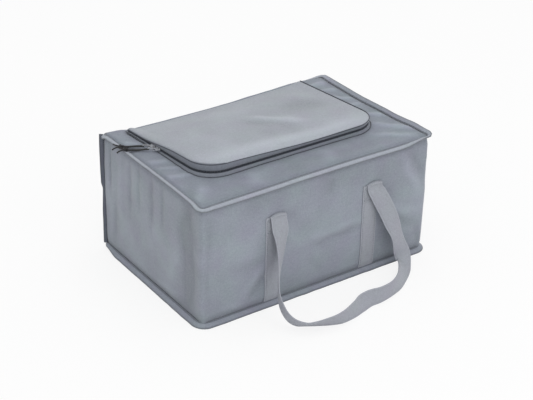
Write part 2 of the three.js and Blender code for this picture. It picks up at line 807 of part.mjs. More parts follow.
// The tack seen from the side: flat against the wall, with the folded webbing's round top.
function tackProfile(face, tackLow) {
  const lip = webbingThickness / 2;
  const profile = [
    new THREE.Vector2(face * halfDepth, tackLow),
    new THREE.Vector2(face * strapFace, tackLow),
  ];
  for (let step = 0; step <= cornerSteps; step++) {
    const angle = (Math.PI * step) / cornerSteps;
    const y = halfDepth + lip + lip * Math.cos(angle);
    profile.push(new THREE.Vector2(face * y, attachHeight + lip * Math.sin(angle)));
  }
  return profile;
}

// The webbing sewn up the wall, and the tack at its top where the loop is stitched on.
function addSewnStraps(name, face) {
  for (const [sideName, side] of [["left", -1], ["right", 1]]) {
    const centre = (side * strapSpacing) / 2 + strapShift;
    const x0 = centre - webbingWidth / 2;
    const x1 = centre + webbingWidth / 2;
    const y0 = Math.min(face * halfDepth, face * strapFace);
    const y1 = Math.max(face * halfDepth, face * strapFace);
    const tackLow = attachHeight - tackHeight;
    const strap = block(x0, x1, y0, y1, bindingHeight + layerGap, tackLow - layerGap);
    addPiece(`${name}_strap_${sideName}`, strap, paint.webbing);
    const tack = sidewaysBar(tackProfile(face, tackLow), x0, webbingWidth);
    addPiece(`${name}_tack_${sideName}`, tack, paint.webbing);
  }
}

// The front loop hangs from its two tacks and lies on the floor with a half turn near its left end.
// Each row gives the place across as a share of half the strap spacing, the reach from the wall as a share
// of the loop's reach, the drop as a share of the height to where the webbing stands on its edge, and the way
// that its width points.
const frontLoopShares = [
  [-1, 0, 0, [1, 0, 0]],
  [-1, 0.037, 0.047, [1, 0, 0]],
  [-0.99, 0.08, 0.147, [1, -0.05, 0]],
  [-1.01, 0.127, 0.26, [0.97, 0.22, -0.1]],
  [-1.04, 0.166, 0.38, [0.85, 0.45, -0.28]],
  [-1.08, 0.214, 0.495, [0.65, 0.6, -0.46]],
  [-1.14, 0.272, 0.61, [0.55, 0.62, -0.56]],
  [-1.21, 0.358, 0.716, [0.45, 0.58, -0.68]],
  [-1.27, 0.464, 0.817, [0.3, 0.5, -0.81]],
  [-1.29, 0.589, 0.904, [0.24, 0.46, -0.85]],
  [-1.27, 0.724, 0.97, [0.3, 0.4, -0.87]],
  [-1.2, 0.84, 1.006, [0.4, 0.45, -0.8]],
  [-1.07, 0.925, 1.022, [0.43, 0.6, -0.68]],
  [-0.92, 0.993, 1.02, [0.34, 0.6, -0.73]],
  [-0.76, 1.05, 1.014, [0.24, 0.51, -0.83]],
  [-0.61, 1.09, 1.007, [0.14, 0.4, -0.91]],
  [-0.43, 1.1, 1.001, [0.02, 0.17, -0.98]],
  [-0.15, 1.03, 1, [0, -0.15, -0.98]],
  [0.09, 0.935, 1.005, [0.03, -0.4, -0.9]],
  [0.28, 0.906, 1.003, [0.03, -0.25, -0.95]],
  [0.48, 0.925, 1, [0, -0.08, -1]],
  [0.75, 0.887, 0.999, [0, -0.02, -1]],
  [1.02, 0.772, 1, [0.12, -0.2, -0.97]],
  [1.24, 0.6, 1.004, [0.3, -0.38, -0.86]],
  [1.41, 0.445, 1.012, [0.5, -0.46, -0.7]],
  [1.51, 0.33, 1.012, [0.65, -0.45, -0.58]],
  [1.53, 0.252, 0.944, [0.86, -0.3, -0.3]],
  [1.47, 0.228, 0.83, [0.98, -0.1, 0]],
  [1.42, 0.228, 0.723, [0.98, 0.05, 0.1]],
  [1.36, 0.224, 0.61, [0.95, 0.1, 0.22]],
  [1.28, 0.204, 0.482, [0.93, 0, 0.33]],
  [1.21, 0.166, 0.355, [0.9, -0.12, 0.36]],
  [1.13, 0.125, 0.234, [0.88, -0.22, 0.34]],
  [1.05, 0.08, 0.128, [0.94, -0.14, 0.2]],
  [1, 0.037, 0.047, [1, -0.02, 0.04]],
  [1, 0, 0, [1, 0, 0]],
];

// The back loop hangs evenly, and its slack lies behind the bag.
const backLoopShares = [
  [-1.0, 0.0, 0.0, [1, 0, 0]],
  [-1.0, 0.008, 0.05, [1, 0, 0]],
  [-1.0, 0.05, 0.135, [1, 0, 0]],
  [-1.03, 0.125, 0.265, [1, 0, 0.05]],
  [-1.09, 0.16, 0.46, [1, 0, 0.15]],
  [-1.16, 0.18, 0.64, [0.95, 0, 0.25]],
  [-1.2, 0.21, 0.8, [0.85, 0.1, 0.4]],
  [-1.14, 0.26, 0.93, [0.5, 0.2, 0.8]],
  [-0.95, 0.32, 1.0, [0.1, 0.3, 0.95]],
  [-0.6, 0.38, 1.0, [0, 0.34, 0.94]],
  [-0.2, 0.41, 1.0, [0, 0.34, 0.94]],
  [0.2, 0.41, 1.0, [0, 0.34, 0.94]],
  [0.6, 0.38, 1.0, [0, 0.34, 0.94]],
  [0.95, 0.32, 1.0, [-0.1, 0.3, 0.95]],
  [1.14, 0.26, 0.93, [-0.5, 0.2, 0.8]],
  [1.2, 0.21, 0.8, [-0.85, 0.1, 0.4]],
  [1.16, 0.18, 0.64, [-0.95, 0, 0.25]],
  [1.09, 0.16, 0.46, [-1, 0, 0.15]],
  [1.03, 0.125, 0.265, [-1, 0, 0.05]],
  [1.0, 0.05, 0.135, [-1, 0, 0]],
  [1.0, 0.008, 0.05, [-1, 0, 0]],
  [1.0, 0.0, 0.0, [-1, 0, 0]],
];

// Webbing swept along the loop, its width turned as each row of shares says.
function loopGeometry(shares, face) {
  const floorHeight = webbingWidth / 2 + loopRestGap;
  const points = shares.map(([across, reach, drop]) => new THREE.Vector3(
    (across * strapSpacing) / 2 + strapShift + loopShift,
    face * (loopY + reach * loopReach),
    loopZ + (floorHeight - loopZ) * drop,
  ));
  const widths = shares.map(([, , , way]) => new THREE.Vector3(way[0], -face * way[1], way[2]));
  const route = new THREE.CatmullRomCurve3(points, false, "centripetal");
  const turning = new THREE.CatmullRomCurve3(widths, false, "centripetal");
  const rings = [];
  for (let step = 0; step <= loopSteps; step++) {
    const share = step / loopSteps;
    const at = route.getPoint(share);
    const along = route.getTangent(share);
    const across = turning.getPoint(share);
    across.addScaledVector(along, -across.dot(along)).normalize();
    const through = along.clone().cross(across).multiplyScalar(webbingThickness / 2);
    across.multiplyScalar(webbingWidth / 2);
    rings.push([
      at.clone().sub(across).sub(through),
      at.clone().add(across).sub(through),
      at.clone().add(across).add(through),
      at.clone().sub(across).add(through),
    ]);
  }
  return loft(rings);
}

addBase();
addSideWrap();
addBackWall();
addWallFoams();
addWallLining();
addTop();
addZip();
addLid();
addSliders();
addSewnStraps("front", -1);
addSewnStraps("back", 1);
addPiece("front_handle_loop", loopGeometry(frontLoopShares, -1), paint.webbing);
addPiece("back_handle_loop", loopGeometry(backLoopShares, 1), paint.webbing);

export default bag;
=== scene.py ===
"""A collapsible insulated carrying bag, dressed in cloth, binding, webbing and zip over its construction.

Metres, +Z up. X runs along the front from left to right, and Y from the front to the back.
"""

import bisect
import json
import math

import bpy
from mathutils import Matrix, Vector, noise

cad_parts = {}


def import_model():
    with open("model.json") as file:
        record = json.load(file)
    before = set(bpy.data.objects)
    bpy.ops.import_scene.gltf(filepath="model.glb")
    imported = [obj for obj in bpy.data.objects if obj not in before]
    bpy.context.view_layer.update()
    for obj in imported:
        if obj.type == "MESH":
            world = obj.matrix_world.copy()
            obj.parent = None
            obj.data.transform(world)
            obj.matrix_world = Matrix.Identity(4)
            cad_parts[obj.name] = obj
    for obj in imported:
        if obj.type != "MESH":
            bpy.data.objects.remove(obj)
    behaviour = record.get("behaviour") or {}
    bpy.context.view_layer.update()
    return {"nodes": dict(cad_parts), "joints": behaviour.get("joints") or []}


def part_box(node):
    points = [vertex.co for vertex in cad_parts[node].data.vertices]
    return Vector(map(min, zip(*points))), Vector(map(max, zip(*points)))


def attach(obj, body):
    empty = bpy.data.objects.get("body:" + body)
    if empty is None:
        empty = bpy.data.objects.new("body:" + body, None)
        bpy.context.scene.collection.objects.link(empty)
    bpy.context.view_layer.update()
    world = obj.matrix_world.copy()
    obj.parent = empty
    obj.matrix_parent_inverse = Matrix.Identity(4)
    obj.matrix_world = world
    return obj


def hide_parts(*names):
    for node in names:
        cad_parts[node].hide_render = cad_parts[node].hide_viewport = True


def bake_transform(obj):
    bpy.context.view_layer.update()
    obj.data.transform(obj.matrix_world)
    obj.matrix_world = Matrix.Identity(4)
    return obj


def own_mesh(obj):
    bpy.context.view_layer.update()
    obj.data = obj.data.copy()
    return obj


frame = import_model()

bl_info = {
    "name": "Collapsible insulated bag",
    "version": (1, 0, 0),
    "blender": (4, 5, 0),
    "location": "View3D > Sidebar > Bag",
    "description": "Models a soft insulated bag with a zip lid, bound seams and webbing handles",
    "category": "Add Mesh",
}

MM = 0.001
UP = Vector((0, 0, 1))

EDGE_ANGLE = math.radians(50)

# Places read from the construction
RIM_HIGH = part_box("top_binding")[1]
BACK_LOW, BACK_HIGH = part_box("back_panel")
LID_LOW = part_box("lid_panel")[0]
LINING_LOW, LINING_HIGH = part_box("wall_lining")
JOINTS = {joint["name"]: joint for joint in frame["joints"]}
HINGE = Vector(JOINTS["lid_hinge"]["pos_m"])
TRAVEL = -JOINTS["collapse"]["range_m"][0]
TOP = RIM_HIGH.z
FOLDED_SHARE = (TOP - TRAVEL) / TOP


def shade(red, green, blue):
    """A colour written as a screen shows it, from 0 to 255, as the linear one that a shader takes."""
    def linear(value):
        share = value / 255
        return share / 12.92 if share <= 0.04045 else ((share + 0.055) / 1.055) ** 2.4

    return (linear(red), linear(green), linear(blue))


def length_property(name, description, value):
    return bpy.props.FloatProperty(
        name=name, description=description, default=value, min=0, unit="LENGTH", precision=4
    )


def colour_property(name, description, value):
    return bpy.props.FloatVectorProperty(
        name=name, description=description, default=value, subtype="COLOR", min=0, max=1
    )


class BagSizes(bpy.types.PropertyGroup):
    """The sizes of the bag's cloth, seams, lid and webbing."""
    cloth: length_property("Cloth", "Thickness of the wall cloth", 0.8 * MM)
    fold_radius: length_property("Front fold", "Radius of the folds up the front corners", 4 * MM)
    rim_radius: length_property("Rim corner", "Radius of the top seam at the front corners", 4 * MM)
    foot_radius: length_property("Foot corner", "Radius of the bottom seam at the front corners", 13 * MM)
    back_radius: length_property("Back seam", "Radius of the seams at the back corners", 3 * MM)
    binding_width: length_property("Binding", "How far a bound seam stands out", 10 * MM)
    binding_height: length_property("Binding height", "Thickness of a bound seam", 2.8 * MM)
    hem: length_property("Hem", "Cloth turned out into the bound seams", 2.5 * MM)
    foam: length_property("Foam", "Thickness of the foam sheets", 5 * MM)
    lid_width: length_property("Lid width", "Width of the lid along its front", 352 * MM)
    lid_radius: length_property("Lid corner", "Radius of the lid's front corners", 45 * MM)
    lid_lean: length_property("Lid lean", "How far the lid's back end lies to the left", 15 * MM)
    lid_overhang: length_property("Lid overhang", "Lid cloth beyond the line of the zip", 1 * MM)
    band_front: length_property("Band front", "Height of the zip band at the lid's front", 17 * MM)
    band_back: length_property("Band back", "Height of the zip band where the zip ends", 7.5 * MM)
    lid_flap: length_property("Lid flap", "Lid cloth between the zip's end and the hinge", 9 * MM)
    tape: length_property("Zip tape", "Thickness of the zip tape", 0.7 * MM)
    teeth_height: length_property("Teeth", "Height of the two rows of teeth together", 3.5 * MM)
    webbing_width: length_property("Webbing width", "Width of the handles' webbing", 30 * MM)
    webbing: length_property("Webbing", "Thickness of the handles' webbing", 1.6 * MM)
    strand: length_property("Pull cord", "Diameter of one strand of a pull's cord", 2.3 * MM)
    thread: length_property("Thread", "Thickness of the sewing thread", 0.55 * MM)
    stitch: length_property("Stitch", "Length of one stitch", 2.6 * MM)
    stitch_gap: length_property("Stitch gap", "Gap between two stitches", 0.9 * MM)


class BagColours(bpy.types.PropertyGroup):
    """The colours of the bag's materials."""
    wall: colour_property("Walls", "Cloth of the walls and the base", shade(142, 148, 158))
    # The border and the lid are the walls' cloth: the border's colour is painted darker as shade from the
    # lid, and the lid's paler as light falling on it.
    top: colour_property("Top", "Cloth of the border round the lid", shade(134, 141, 152))
    lid: colour_property("Lid", "Cloth of the lid", shade(157, 162, 170))
    binding: colour_property("Binding", "Tape round the top and back seams", shade(150, 155, 165))
    # The same tape as the top binding: the foot binding's colour is painted darker as shade under the bag's
    # lower edge, and the back binding's much darker as shade where the back seams face away from the light.
    foot: colour_property("Foot binding", "Tape round the bottom seam", shade(134, 139, 150))
    back: colour_property("Back binding", "Tape up the back seams", shade(84, 88, 99))
    webbing: colour_property("Webbing", "Webbing of the handles", shade(158, 161, 170))
    tape: colour_property("Zip tape", "Tape that the zip's teeth are sewn to", shade(126, 131, 141))
    teeth: colour_property("Teeth", "Nylon teeth of the zip", shade(58, 61, 68))
    # Darker than the zip tape: partly the hems' own colour, partly painted shadow along the zip.
    hem: colour_property("Zip hem", "Narrow hems beside the zip", shade(74, 78, 87))
    metal: colour_property("Metal", "Sliders and their tabs", shade(222, 223, 226))
    cord: colour_property("Cord", "Cord of the pulls", shade(22, 22, 25))
    thread: colour_property("Thread", "Sewing thread", shade(112, 117, 128))
    foam: colour_property("Foam", "Foam sheets", shade(232, 232, 228))
    lining: colour_property("Lining", "Silvered film inside", shade(205, 208, 212))
    board: colour_property("Board", "Stiff board in the base", shade(70, 73, 80))
    floor: colour_property("Floor", "Floor that the bag stands on", shade(248, 248, 248))


# Modelling helpers

def deselect_all():
    bpy.ops.object.select_all(action="DESELECT")


def make_active(piece):
    deselect_all()
    piece.select_set(True)
    bpy.context.view_layer.objects.active = piece


def finish_with(piece, kind, **settings):
    """Adds a modifier of one kind to a piece and applies it."""
    make_active(piece)
    modifier = piece.modifiers.new(kind.title(), kind)
    for name, value in settings.items():
        setattr(modifier, name, value)
    bpy.ops.object.modifier_apply(modifier=modifier.name)


def laid_cloth(name, columns, rows, flat, place):
    """A flat cut of cloth whose every thread crossing is laid by place(across, up), both from 0 to 1."""
    deselect_all()
    bpy.ops.mesh.primitive_grid_add(x_subdivisions=columns, y_subdivisions=rows, size=2)
    piece = bpy.context.object
    piece.name = piece.data.name = name
    for corner in piece.data.uv_layers.active.data:
        corner.uv = (corner.uv.x * flat[0], corner.uv.y * flat[1])
    for vertex in piece.data.vertices:
        vertex.co = place((vertex.co.x + 1) / 2, (vertex.co.y + 1) / 2)
    bpy.ops.object.shade_smooth()
    return piece


def close_seams(piece, distance=0.02 * MM, outwards=True):
    """Joins edges that meet, and turns the faces outwards."""
    make_active(piece)
    bpy.ops.object.mode_set(mode="EDIT")
    bpy.ops.mesh.select_all(action="SELECT")
    bpy.ops.mesh.remove_doubles(threshold=distance)
    if outwards:
        bpy.ops.mesh.normals_make_consistent(inside=False)
    bpy.ops.object.mode_set(mode="OBJECT")


def thickened(piece, thickness, look, bevel=0.0):
    """Gives a sheet its thickness below its face, rounds its edges by a width and paints it."""
    finish_with(piece, "SOLIDIFY", thickness=thickness, offset=-1)
    if bevel:
        finish_with(piece, "BEVEL", width=bevel, segments=3, limit_method="ANGLE", angle_limit=EDGE_ANGLE)
    return painted(piece, look)


def map_from_above(piece):
    """Lays a piece's map flat, as seen from above."""
    uv = piece.data.uv_layers.active.data
    for loop in piece.data.loops:
        co = piece.data.vertices[loop.vertex_index].co
        uv[loop.index].uv = (co.x, co.y)


def cap_ends(piece):
    """Closes the open ends of a tube."""
    make_active(piece)
    bpy.ops.object.mode_set(mode="EDIT")
    bpy.ops.mesh.select_mode(type="EDGE")
    bpy.ops.mesh.select_all(action="DESELECT")
    bpy.ops.mesh.select_non_manifold()
    bpy.ops.mesh.edge_face_add()
    bpy.ops.mesh.select_all(action="SELECT")
    bpy.ops.mesh.normals_make_consistent(inside=False)
    bpy.ops.object.mode_set(mode="OBJECT")


def joined(pieces, name):
    deselect_all()
    for piece in pieces:
        piece.select_set(True)
    bpy.context.view_layer.objects.active = pieces[0]
    bpy.ops.object.join()
    pieces[0].name = pieces[0].data.name = name
    return pieces[0]


def smooth_step(low, high, value):
    share = min(1.0, max(0.0, (value - low) / (high - low)))
    return share * share * (3 - 2 * share)


def ripple(x, y, scale, seed):
    """Smooth unevenness between about -1 and 1."""
    return noise.noise(Vector((x / scale, y / scale, seed)))


def crumple(x, y, scale, seed):
    """Unevenness with sharp crests, as in cloth that has been folded; from 0 to 1."""
    bend = 0.35 * ripple(x, y, scale * 1.7, seed + 5)
    crest = 1 - abs(noise.noise(Vector((x / scale + bend, y / scale - bend, seed))))
    return crest ** 4


def fold(x, y, start, end, width, depth):
    """A soft fold along a line: its full depth along the middle, and nothing past its ends."""
    dx = end[0] - start[0]
    dy = end[1] - start[1]
    length = math.hypot(dx, dy)
    along = ((x - start[0]) * dx + (y - start[1]) * dy) / length
    off = ((x - start[0]) * dy - (y - start[1]) * dx) / length
    off += 0.5 * width * ripple(x, y, 3 * width, 2.5)
    beyond = max(0.0, -along, along - length)
    if abs(off) > 4 * width or beyond > 4 * width:
        return 0.0
    fade = min(1.0, max(0.0, min(along, length - along)) / (0.35 * length) + 0.25)
    return depth * fade * math.exp(-((off / width) ** 2) - (beyond / (1.2 * width)) ** 2)


def marks_along(points, gap=lambda a, b: (b - a).length):
    """How far along a line each of its points lies."""
    marks = [0.0]
    for a, b in zip(points, points[1:]):
        marks.append(marks[-1] + gap(a, b))
    return marks


def locate(marks, distance):
    """The stretch of a line that a distance along it falls on, and the share of that stretch passed."""
    i = min(len(marks) - 2, max(0, bisect.bisect_right(marks, distance) - 1))
    return i, (distance - marks[i]) / max(1e-9, marks[i + 1] - marks[i])


def raised(flat, height):
    """A place seen from above, at a height."""
    return Vector((flat.x, flat.y, height))


class Track:
    """A line seen from above with rounded corners, measured along its length.

    Its outward side is on the right of its run.
    """

    def __init__(self, corners, radii, closed):
        self.points = []
        self.normals = []
        count = len(corners)
        runs = [(Vector(corners[(i + 1) % count]) - Vector(corners[i])).normalized() for i in range(count)]
        for i, corner in enumerate(corners):
            arrive = runs[i - 1] if closed or i > 0 else runs[i]
            leave = runs[i] if closed or i + 1 < count else runs[i - 1]
            turn = arrive.angle_signed(leave) if (arrive - leave).length > 1e-9 else 0.0
            if abs(turn) < 1e-6:
                self.points.append(Vector(corner))
                self.normals.append(Vector((leave.y, -leave.x)))
                continue
            self.add_arc(Vector(corner), arrive, leave, radii[i])
        if closed:
            self.points.append(self.points[0].copy())
            self.normals.append(self.normals[0].copy())
        self.marks = marks_along(self.points)
        self.length = self.marks[-1]

    def add_arc(self, corner, arrive, leave, radius):
        steps = 10
        half = math.acos(max(-1.0, min(1.0, arrive.dot(leave)))) / 2
        start = corner - arrive * radius * math.tan(half)
        outward = Vector((arrive.y, -arrive.x))
        centre = start - outward * radius
        for step in range(steps + 1):
            angle = 2 * half * step / steps
            spoke = outward * math.cos(angle) + arrive * math.sin(angle)
            self.points.append(centre + spoke * radius)
            self.normals.append(spoke)

    def at_share(self, share):
        return self.at(share * self.length)

    def at(self, distance):
        """The point at a distance along the track, and the direction that faces outwards there."""
        i, share = locate(self.marks, min(self.length, max(0.0, distance)))
        normal = self.normals[i].lerp(self.normals[i + 1], share).normalized()
        return self.points[i].lerp(self.points[i + 1], share), normal


def smooth_run(rows, steps):
    """A smooth line through rows of numbers, as that many even steps of a centripetal spline."""
    def spline(before, start, end, after, share):
        def gap(a, b):
            return max(1e-6, math.sqrt(math.dist(a[:3], b[:3])))

        t0 = 0.0
        t1 = gap(before, start)
        t2 = t1 + gap(start, end)
        t3 = t2 + gap(end, after)
        t = t1 + (t2 - t1) * share

        def mix(a, b, ta, tb):
            return [(x * (tb - t) + y * (t - ta)) / (tb - ta) for x, y in zip(a, b)]

        first = mix(before, start, t0, t1)
        second = mix(start, end, t1, t2)
        third = mix(end, after, t2, t3)
        return mix(mix(first, second, t0, t2), mix(second, third, t1, t3), t1, t2)

    fine = []
    per_row = 12
    for i in range(len(rows) - 1):
        before = rows[i - 1] if i else [2 * a - b for a, b in zip(rows[0], rows[1])]
        last = i + 2 >= len(rows)
        after = [2 * a - b for a, b in zip(rows[-1], rows[-2])] if last else rows[i + 2]
        for step in range(per_row):
            fine.append(spline(before, rows[i], rows[i + 1], after, step / per_row))
    fine.append(list(rows[-1]))
    marks = marks_along(fine, lambda a, b: math.dist(a[:3], b[:3]))
    even = []
    for step in range(steps + 1):
        i, share = locate(marks, marks[-1] * step / steps)
        even.append([a + (b - a) * share for a, b in zip(fine[i], fine[i + 1])])
    return even, marks[-1]


# A stitch from end to end: (share of its length, share of its girth), and the share of it that is sunk.
STITCH_SECTIONS = ((0.0, 0.35), (0.12, 0.85), (0.5, 1.0), (0.88, 0.85), (1.0, 0.35))
STITCH_SINK = 0.25


def seam_of_stitches(name, route, up_at, sizes):
    """Stitches along a route of points, each a small capsule lying along it, facing up_at(point)."""
    lengths = marks_along(route)

    def along(distance):
        i, share = locate(lengths, distance)
        return route[i].lerp(route[i + 1], share)

    pitch = sizes.stitch + sizes.stitch_gap
    count = max(1, int(lengths[-1] / pitch))
    pitch = lengths[-1] / count
    sides = 6
    points = []
    faces = []
    for i in range(count):
        start = along(pitch * i + sizes.stitch_gap / 2)
        end = along(pitch * (i + 1) - sizes.stitch_gap / 2)
        middle = (start + end) / 2
        way = (end - start).normalized()
        up = up_at(middle).normalized()
        side = way.cross(up).normalized()
        up = side.cross(way)
        base = len(points)
        for share, girth in STITCH_SECTIONS:
            radius = sizes.thread / 2 * girth
            lift = up * (sizes.thread * (0.5 - STITCH_SINK) * math.sin(math.pi * (0.15 + 0.7 * share)))
            centre = start.lerp(end, share) + lift
            for k in range(sides):
                angle = 2 * math.pi * k / sides
                points.append(centre + (side * math.cos(angle) + up * math.sin(angle)) * radius)
        for ring in range(len(STITCH_SECTIONS) - 1):
            for k in range(sides):
                a = base + ring * sides + k
                b = base + ring * sides + (k + 1) % sides
                faces.append((a, a + sides, b + sides, b))
        last = base + (len(STITCH_SECTIONS) - 1) * sides
        faces.append(tuple(base + k for k in range(sides)))
        faces.append(tuple(last + sides - 1 - k for k in range(sides)))
    mesh = bpy.data.meshes.new(name)
    mesh.from_pydata(points, [], faces)
    mesh.uv_layers.new(name="UVMap")
    mesh.update()
    seam = bpy.data.objects.new(name, mesh)
    bpy.context.scene.collection.objects.link(seam)
    make_active(seam)
    bpy.ops.object.shade_smooth()
    return seam


# Shader helpers

class Wiring:
    """Places and joins the nodes of one shader tree."""

    def __init__(self, tree):
        self.tree = tree

    def add(self, kind, inputs=(), **settings):
        node = self.tree.nodes.new(kind)
        for name, value in settings.items():
            setattr(node, name, value)
        for socket, value in dict(inputs).items():
            self.feed(node.inputs[socket], value)
        return node

    def feed(self, socket, value):
        if isinstance(value, bpy.types.NodeSocket):
            self.tree.links.new(value, socket)
        else:
            socket.default_value = value

    def sum(self, operation, first, second=0.0, third=0.0):
        inputs = {0: first, 1: second, 2: third}
        return self.add("ShaderNodeMath", inputs, operation=operation).outputs[0]

    def range(self, value, low, high, to_low, to_high):
        inputs = {"Value": value, "From Min": low, "From Max": high, "To Min": to_low, "To Max": to_high}
        return self.add("ShaderNodeMapRange", inputs).outputs["Result"]

    def noise(self, vector, scale, detail=2.0, roughness=0.5):
        inputs = {"Vector": vector, "Scale": scale, "Detail": detail, "Roughness": roughness}
        return self.add("ShaderNodeTexNoise", inputs).outputs["Fac"]

    def wave(self, value, pitch):
        """A wave that crosses zero once in every pitch."""
        return self.sum("SINE", self.sum("DIVIDE", self.sum("MULTIPLY", value, math.pi), pitch))

    def stretched(self, vector, factors):
        return self.add("ShaderNodeVectorMath", {0: vector, 1: factors}, operation="MULTIPLY").outputs[0]

    def seen(self):
        """1 for rays that show a thing to the camera, and 0 for those that only light."""
        rays = self.add("ShaderNodeLightPath").outputs
        shown = self.sum("MAXIMUM", rays["Is Camera Ray"], rays["Is Glossy Ray"])
        return self.sum("MAXIMUM", shown, rays["Is Transmission Ray"])


SOCKET_KINDS = {"Vector": "NodeSocketVector", "Base": "NodeSocketColor", "Colour": "NodeSocketColor"}


def effect_group(name, inputs, outputs):
    """An empty shader node group with named sockets, and its wiring."""
    tree = bpy.data.node_groups.new(name, "ShaderNodeTree")
    for socket, value in inputs.items():
        kind = SOCKET_KINDS.get(socket, "NodeSocketFloat")
        made = tree.interface.new_socket(name=socket, in_out="INPUT", socket_type=kind)
        if value is not None:
            made.default_value = value
    for socket in outputs:
        kind = SOCKET_KINDS.get(socket, "NodeSocketFloat")
        tree.interface.new_socket(name=socket, in_out="OUTPUT", socket_type=kind)
    wiring = Wiring(tree)
    entry = wiring.add("NodeGroupInput")
    leave = wiring.add("NodeGroupOutput")
    return tree, wiring, entry.outputs, leave.inputs


def plain_weave_group():
    """Threads that cross over and under each other, on a map in metres."""
    tree, w, given, out = effect_group(
        "Plain Weave", {"Vector": None, "Pitch": 0.0006, "Slub": 0.5}, ("Height", "Threads")
    )
    parts = w.add("ShaderNodeSeparateXYZ", {0: given["Vector"]}).outputs
    waves = [w.wave(parts[axis], given["Pitch"]) for axis in ("X", "Y")]
    ridges = w.sum("MAXIMUM", *(w.sum("ABSOLUTE", wave) for wave in waves))
    crossing = w.sum("MULTIPLY", w.sum("MULTIPLY", *waves), 0.3)
    height = w.sum("ADD", crossing, w.sum("MULTIPLY", ridges, 0.5))
    threads = [w.stretched(given["Vector"], factors) for factors in ((0.05, 1.0, 1.0), (1.0, 0.05, 1.0))]
    slub = w.sum("SUBTRACT", w.sum("ADD", *(w.noise(thread, 1400.0, 1.0) for thread in threads)), 1.0)
    w.feed(out["Height"], w.sum("ADD", height, w.sum("MULTIPLY", slub, given["Slub"])))
    w.feed(out["Threads"], w.sum("ADD", 0.5, slub))
    return tree


def ribs_group():
    """Ribs that run along a tape, crossed by fine picks, on a map in metres."""
    tree, w, given, out = effect_group(
        "Tape Ribs", {"Vector": None, "Rib": 0.0014, "Pick": 0.0007}, ("Height", "Groove")
    )
    parts = w.add("ShaderNodeSeparateXYZ", {0: given["Vector"]}).outputs
    rib = w.sum("ABSOLUTE", w.wave(parts["Y"], given["Rib"]))
    along = w.sum("DIVIDE", w.sum("MULTIPLY", parts["X"], math.pi), given["Pick"])
    pick = w.sum("ABSOLUTE", w.sum("SINE", w.sum("ADD", along, w.sum("MULTIPLY", rib, 0.9))))
    w.feed(out["Height"], w.sum("ADD", w.sum("MULTIPLY", rib, 0.6), w.sum("MULTIPLY", pick, 0.4)))
    w.feed(out["Groove"], w.sum("POWER", w.sum("SUBTRACT", 1.0, rib), 3.0))
    return tree


def cloth_tone_and_fold_shade_group():
    """The uneven tone of dyed cloth: cloudy patches, specks and a drift of its hue, with painted light and
    shade from the height of its folds: paler on their crests and darker in their hollows.
    """
    tree, w, given, out = effect_group(
        "Cloth Tone",
        {"Vector": None, "Base": None, "Threads": 0.5, "Crest": 0.0, "Cloudiness": 0.08},
        ("Colour",),
    )
    place = given["Vector"]
    cloud = w.noise(place, 14.0, 4.0, 0.55)
    speck = w.noise(place, 210.0, 3.0, 0.7)
    grain = w.noise(place, 480.0, 2.0, 0.8)
    uneven = w.sum("MULTIPLY", w.sum("SUBTRACT", cloud, 0.5), given["Cloudiness"])
    for value, share in ((speck, 0.34), (grain, 0.5), (given["Threads"], 0.12)):
        uneven = w.sum("MULTIPLY_ADD", w.sum("SUBTRACT", value, 0.5), share, uneven)
    # Painted light and shade: the folds' crests are painted paler and their hollows darker.
    value = w.sum("ADD", 1.0, w.sum("MULTIPLY_ADD", given["Crest"], 0.26, uneven))
    hue = w.range(w.noise(place, 22.0, 3.0, 0.5), 0.3, 0.7, 0.47, 0.53)
    tone = w.add("ShaderNodeHueSaturation", {"Hue": hue, "Value": value, "Color": given["Base"]}).outputs[0]
    w.feed(out["Colour"], tone)
    return tree


def wear_group():
    """Rubbed and dull places that follow broad noise, for roughness and colour."""
    tree, w, given, out = effect_group(
        "Handling Wear", {"Vector": None, "Scale": 60.0, "Low": 0.3, "High": 0.6}, ("Roughness", "Rubbed")
    )
    mask = w.range(w.noise(given["Vector"], given["Scale"], 5.0, 0.62), 0.35, 0.7, 0.0, 1.0)
    spread = w.sum("SUBTRACT", given["High"], given["Low"])
    w.feed(out["Roughness"], w.sum("MULTIPLY_ADD", mask, spread, given["Low"]))
    w.feed(out["Rubbed"], mask)
    return tree


EFFECT_GROUPS = {
    "weave": plain_weave_group, "ribs": ribs_group, "tone": cloth_tone_and_fold_shade_group, "wear": wear_group,
}
# The groups and the materials that are already built
EFFECTS = {}
FINISHES = {}


def placed_effect(wiring, name, **inputs):
    """Places the shared node group of that name, which is built when it is first asked for."""
    if name not in EFFECTS:
        EFFECTS[name] = EFFECT_GROUPS[name]()
    return wiring.add("ShaderNodeGroup", inputs, node_tree=EFFECTS[name]).outputs


def new_finish(name, **constants):
    """A material with one Principled shader whose constants are set on its own sockets."""
    material = bpy.data.materials.new(name)
    material.use_nodes = True
    shader = material.node_tree.nodes["Principled BSDF"]
    for socket, value in constants.items():
        shader.inputs[socket.replace("_", " ")].default_value = value
    return material, Wiring(material.node_tree), shader.inputs


def bumped(wiring, height, distance, strength=1.0, under=None):
    inputs = {"Height": height, "Distance": distance, "Strength": strength}
    if under is not None:
        inputs["Normal"] = under
    return wiring.add("ShaderNodeBump", inputs).outputs["Normal"]


def shaded(w, shader, place, colour, wear, normal, **marks):
    """Joins a shader to its tone, its wear and its relief, all on one map."""
    tone = placed_effect(w, "tone", Vector=place, Base=(*colour, 1.0), **marks)
    worn = placed_effect(w, "wear", Vector=place, Scale=wear[0], Low=wear[1], High=wear[2])
    w.feed(shader["Base Color"], tone["Colour"])
    w.feed(shader["Roughness"], worn["Roughness"])
    w.feed(shader["Normal"], normal)


def own_map(w):
    """The piece's own map, and how high its folds stand, which sets the painted light and shade on them."""
    flat = w.add("ShaderNodeUVMap", uv_map="UVMap").outputs[0]
    return flat, w.add("ShaderNodeAttribute", attribute_name="crest").outputs["Fac"]


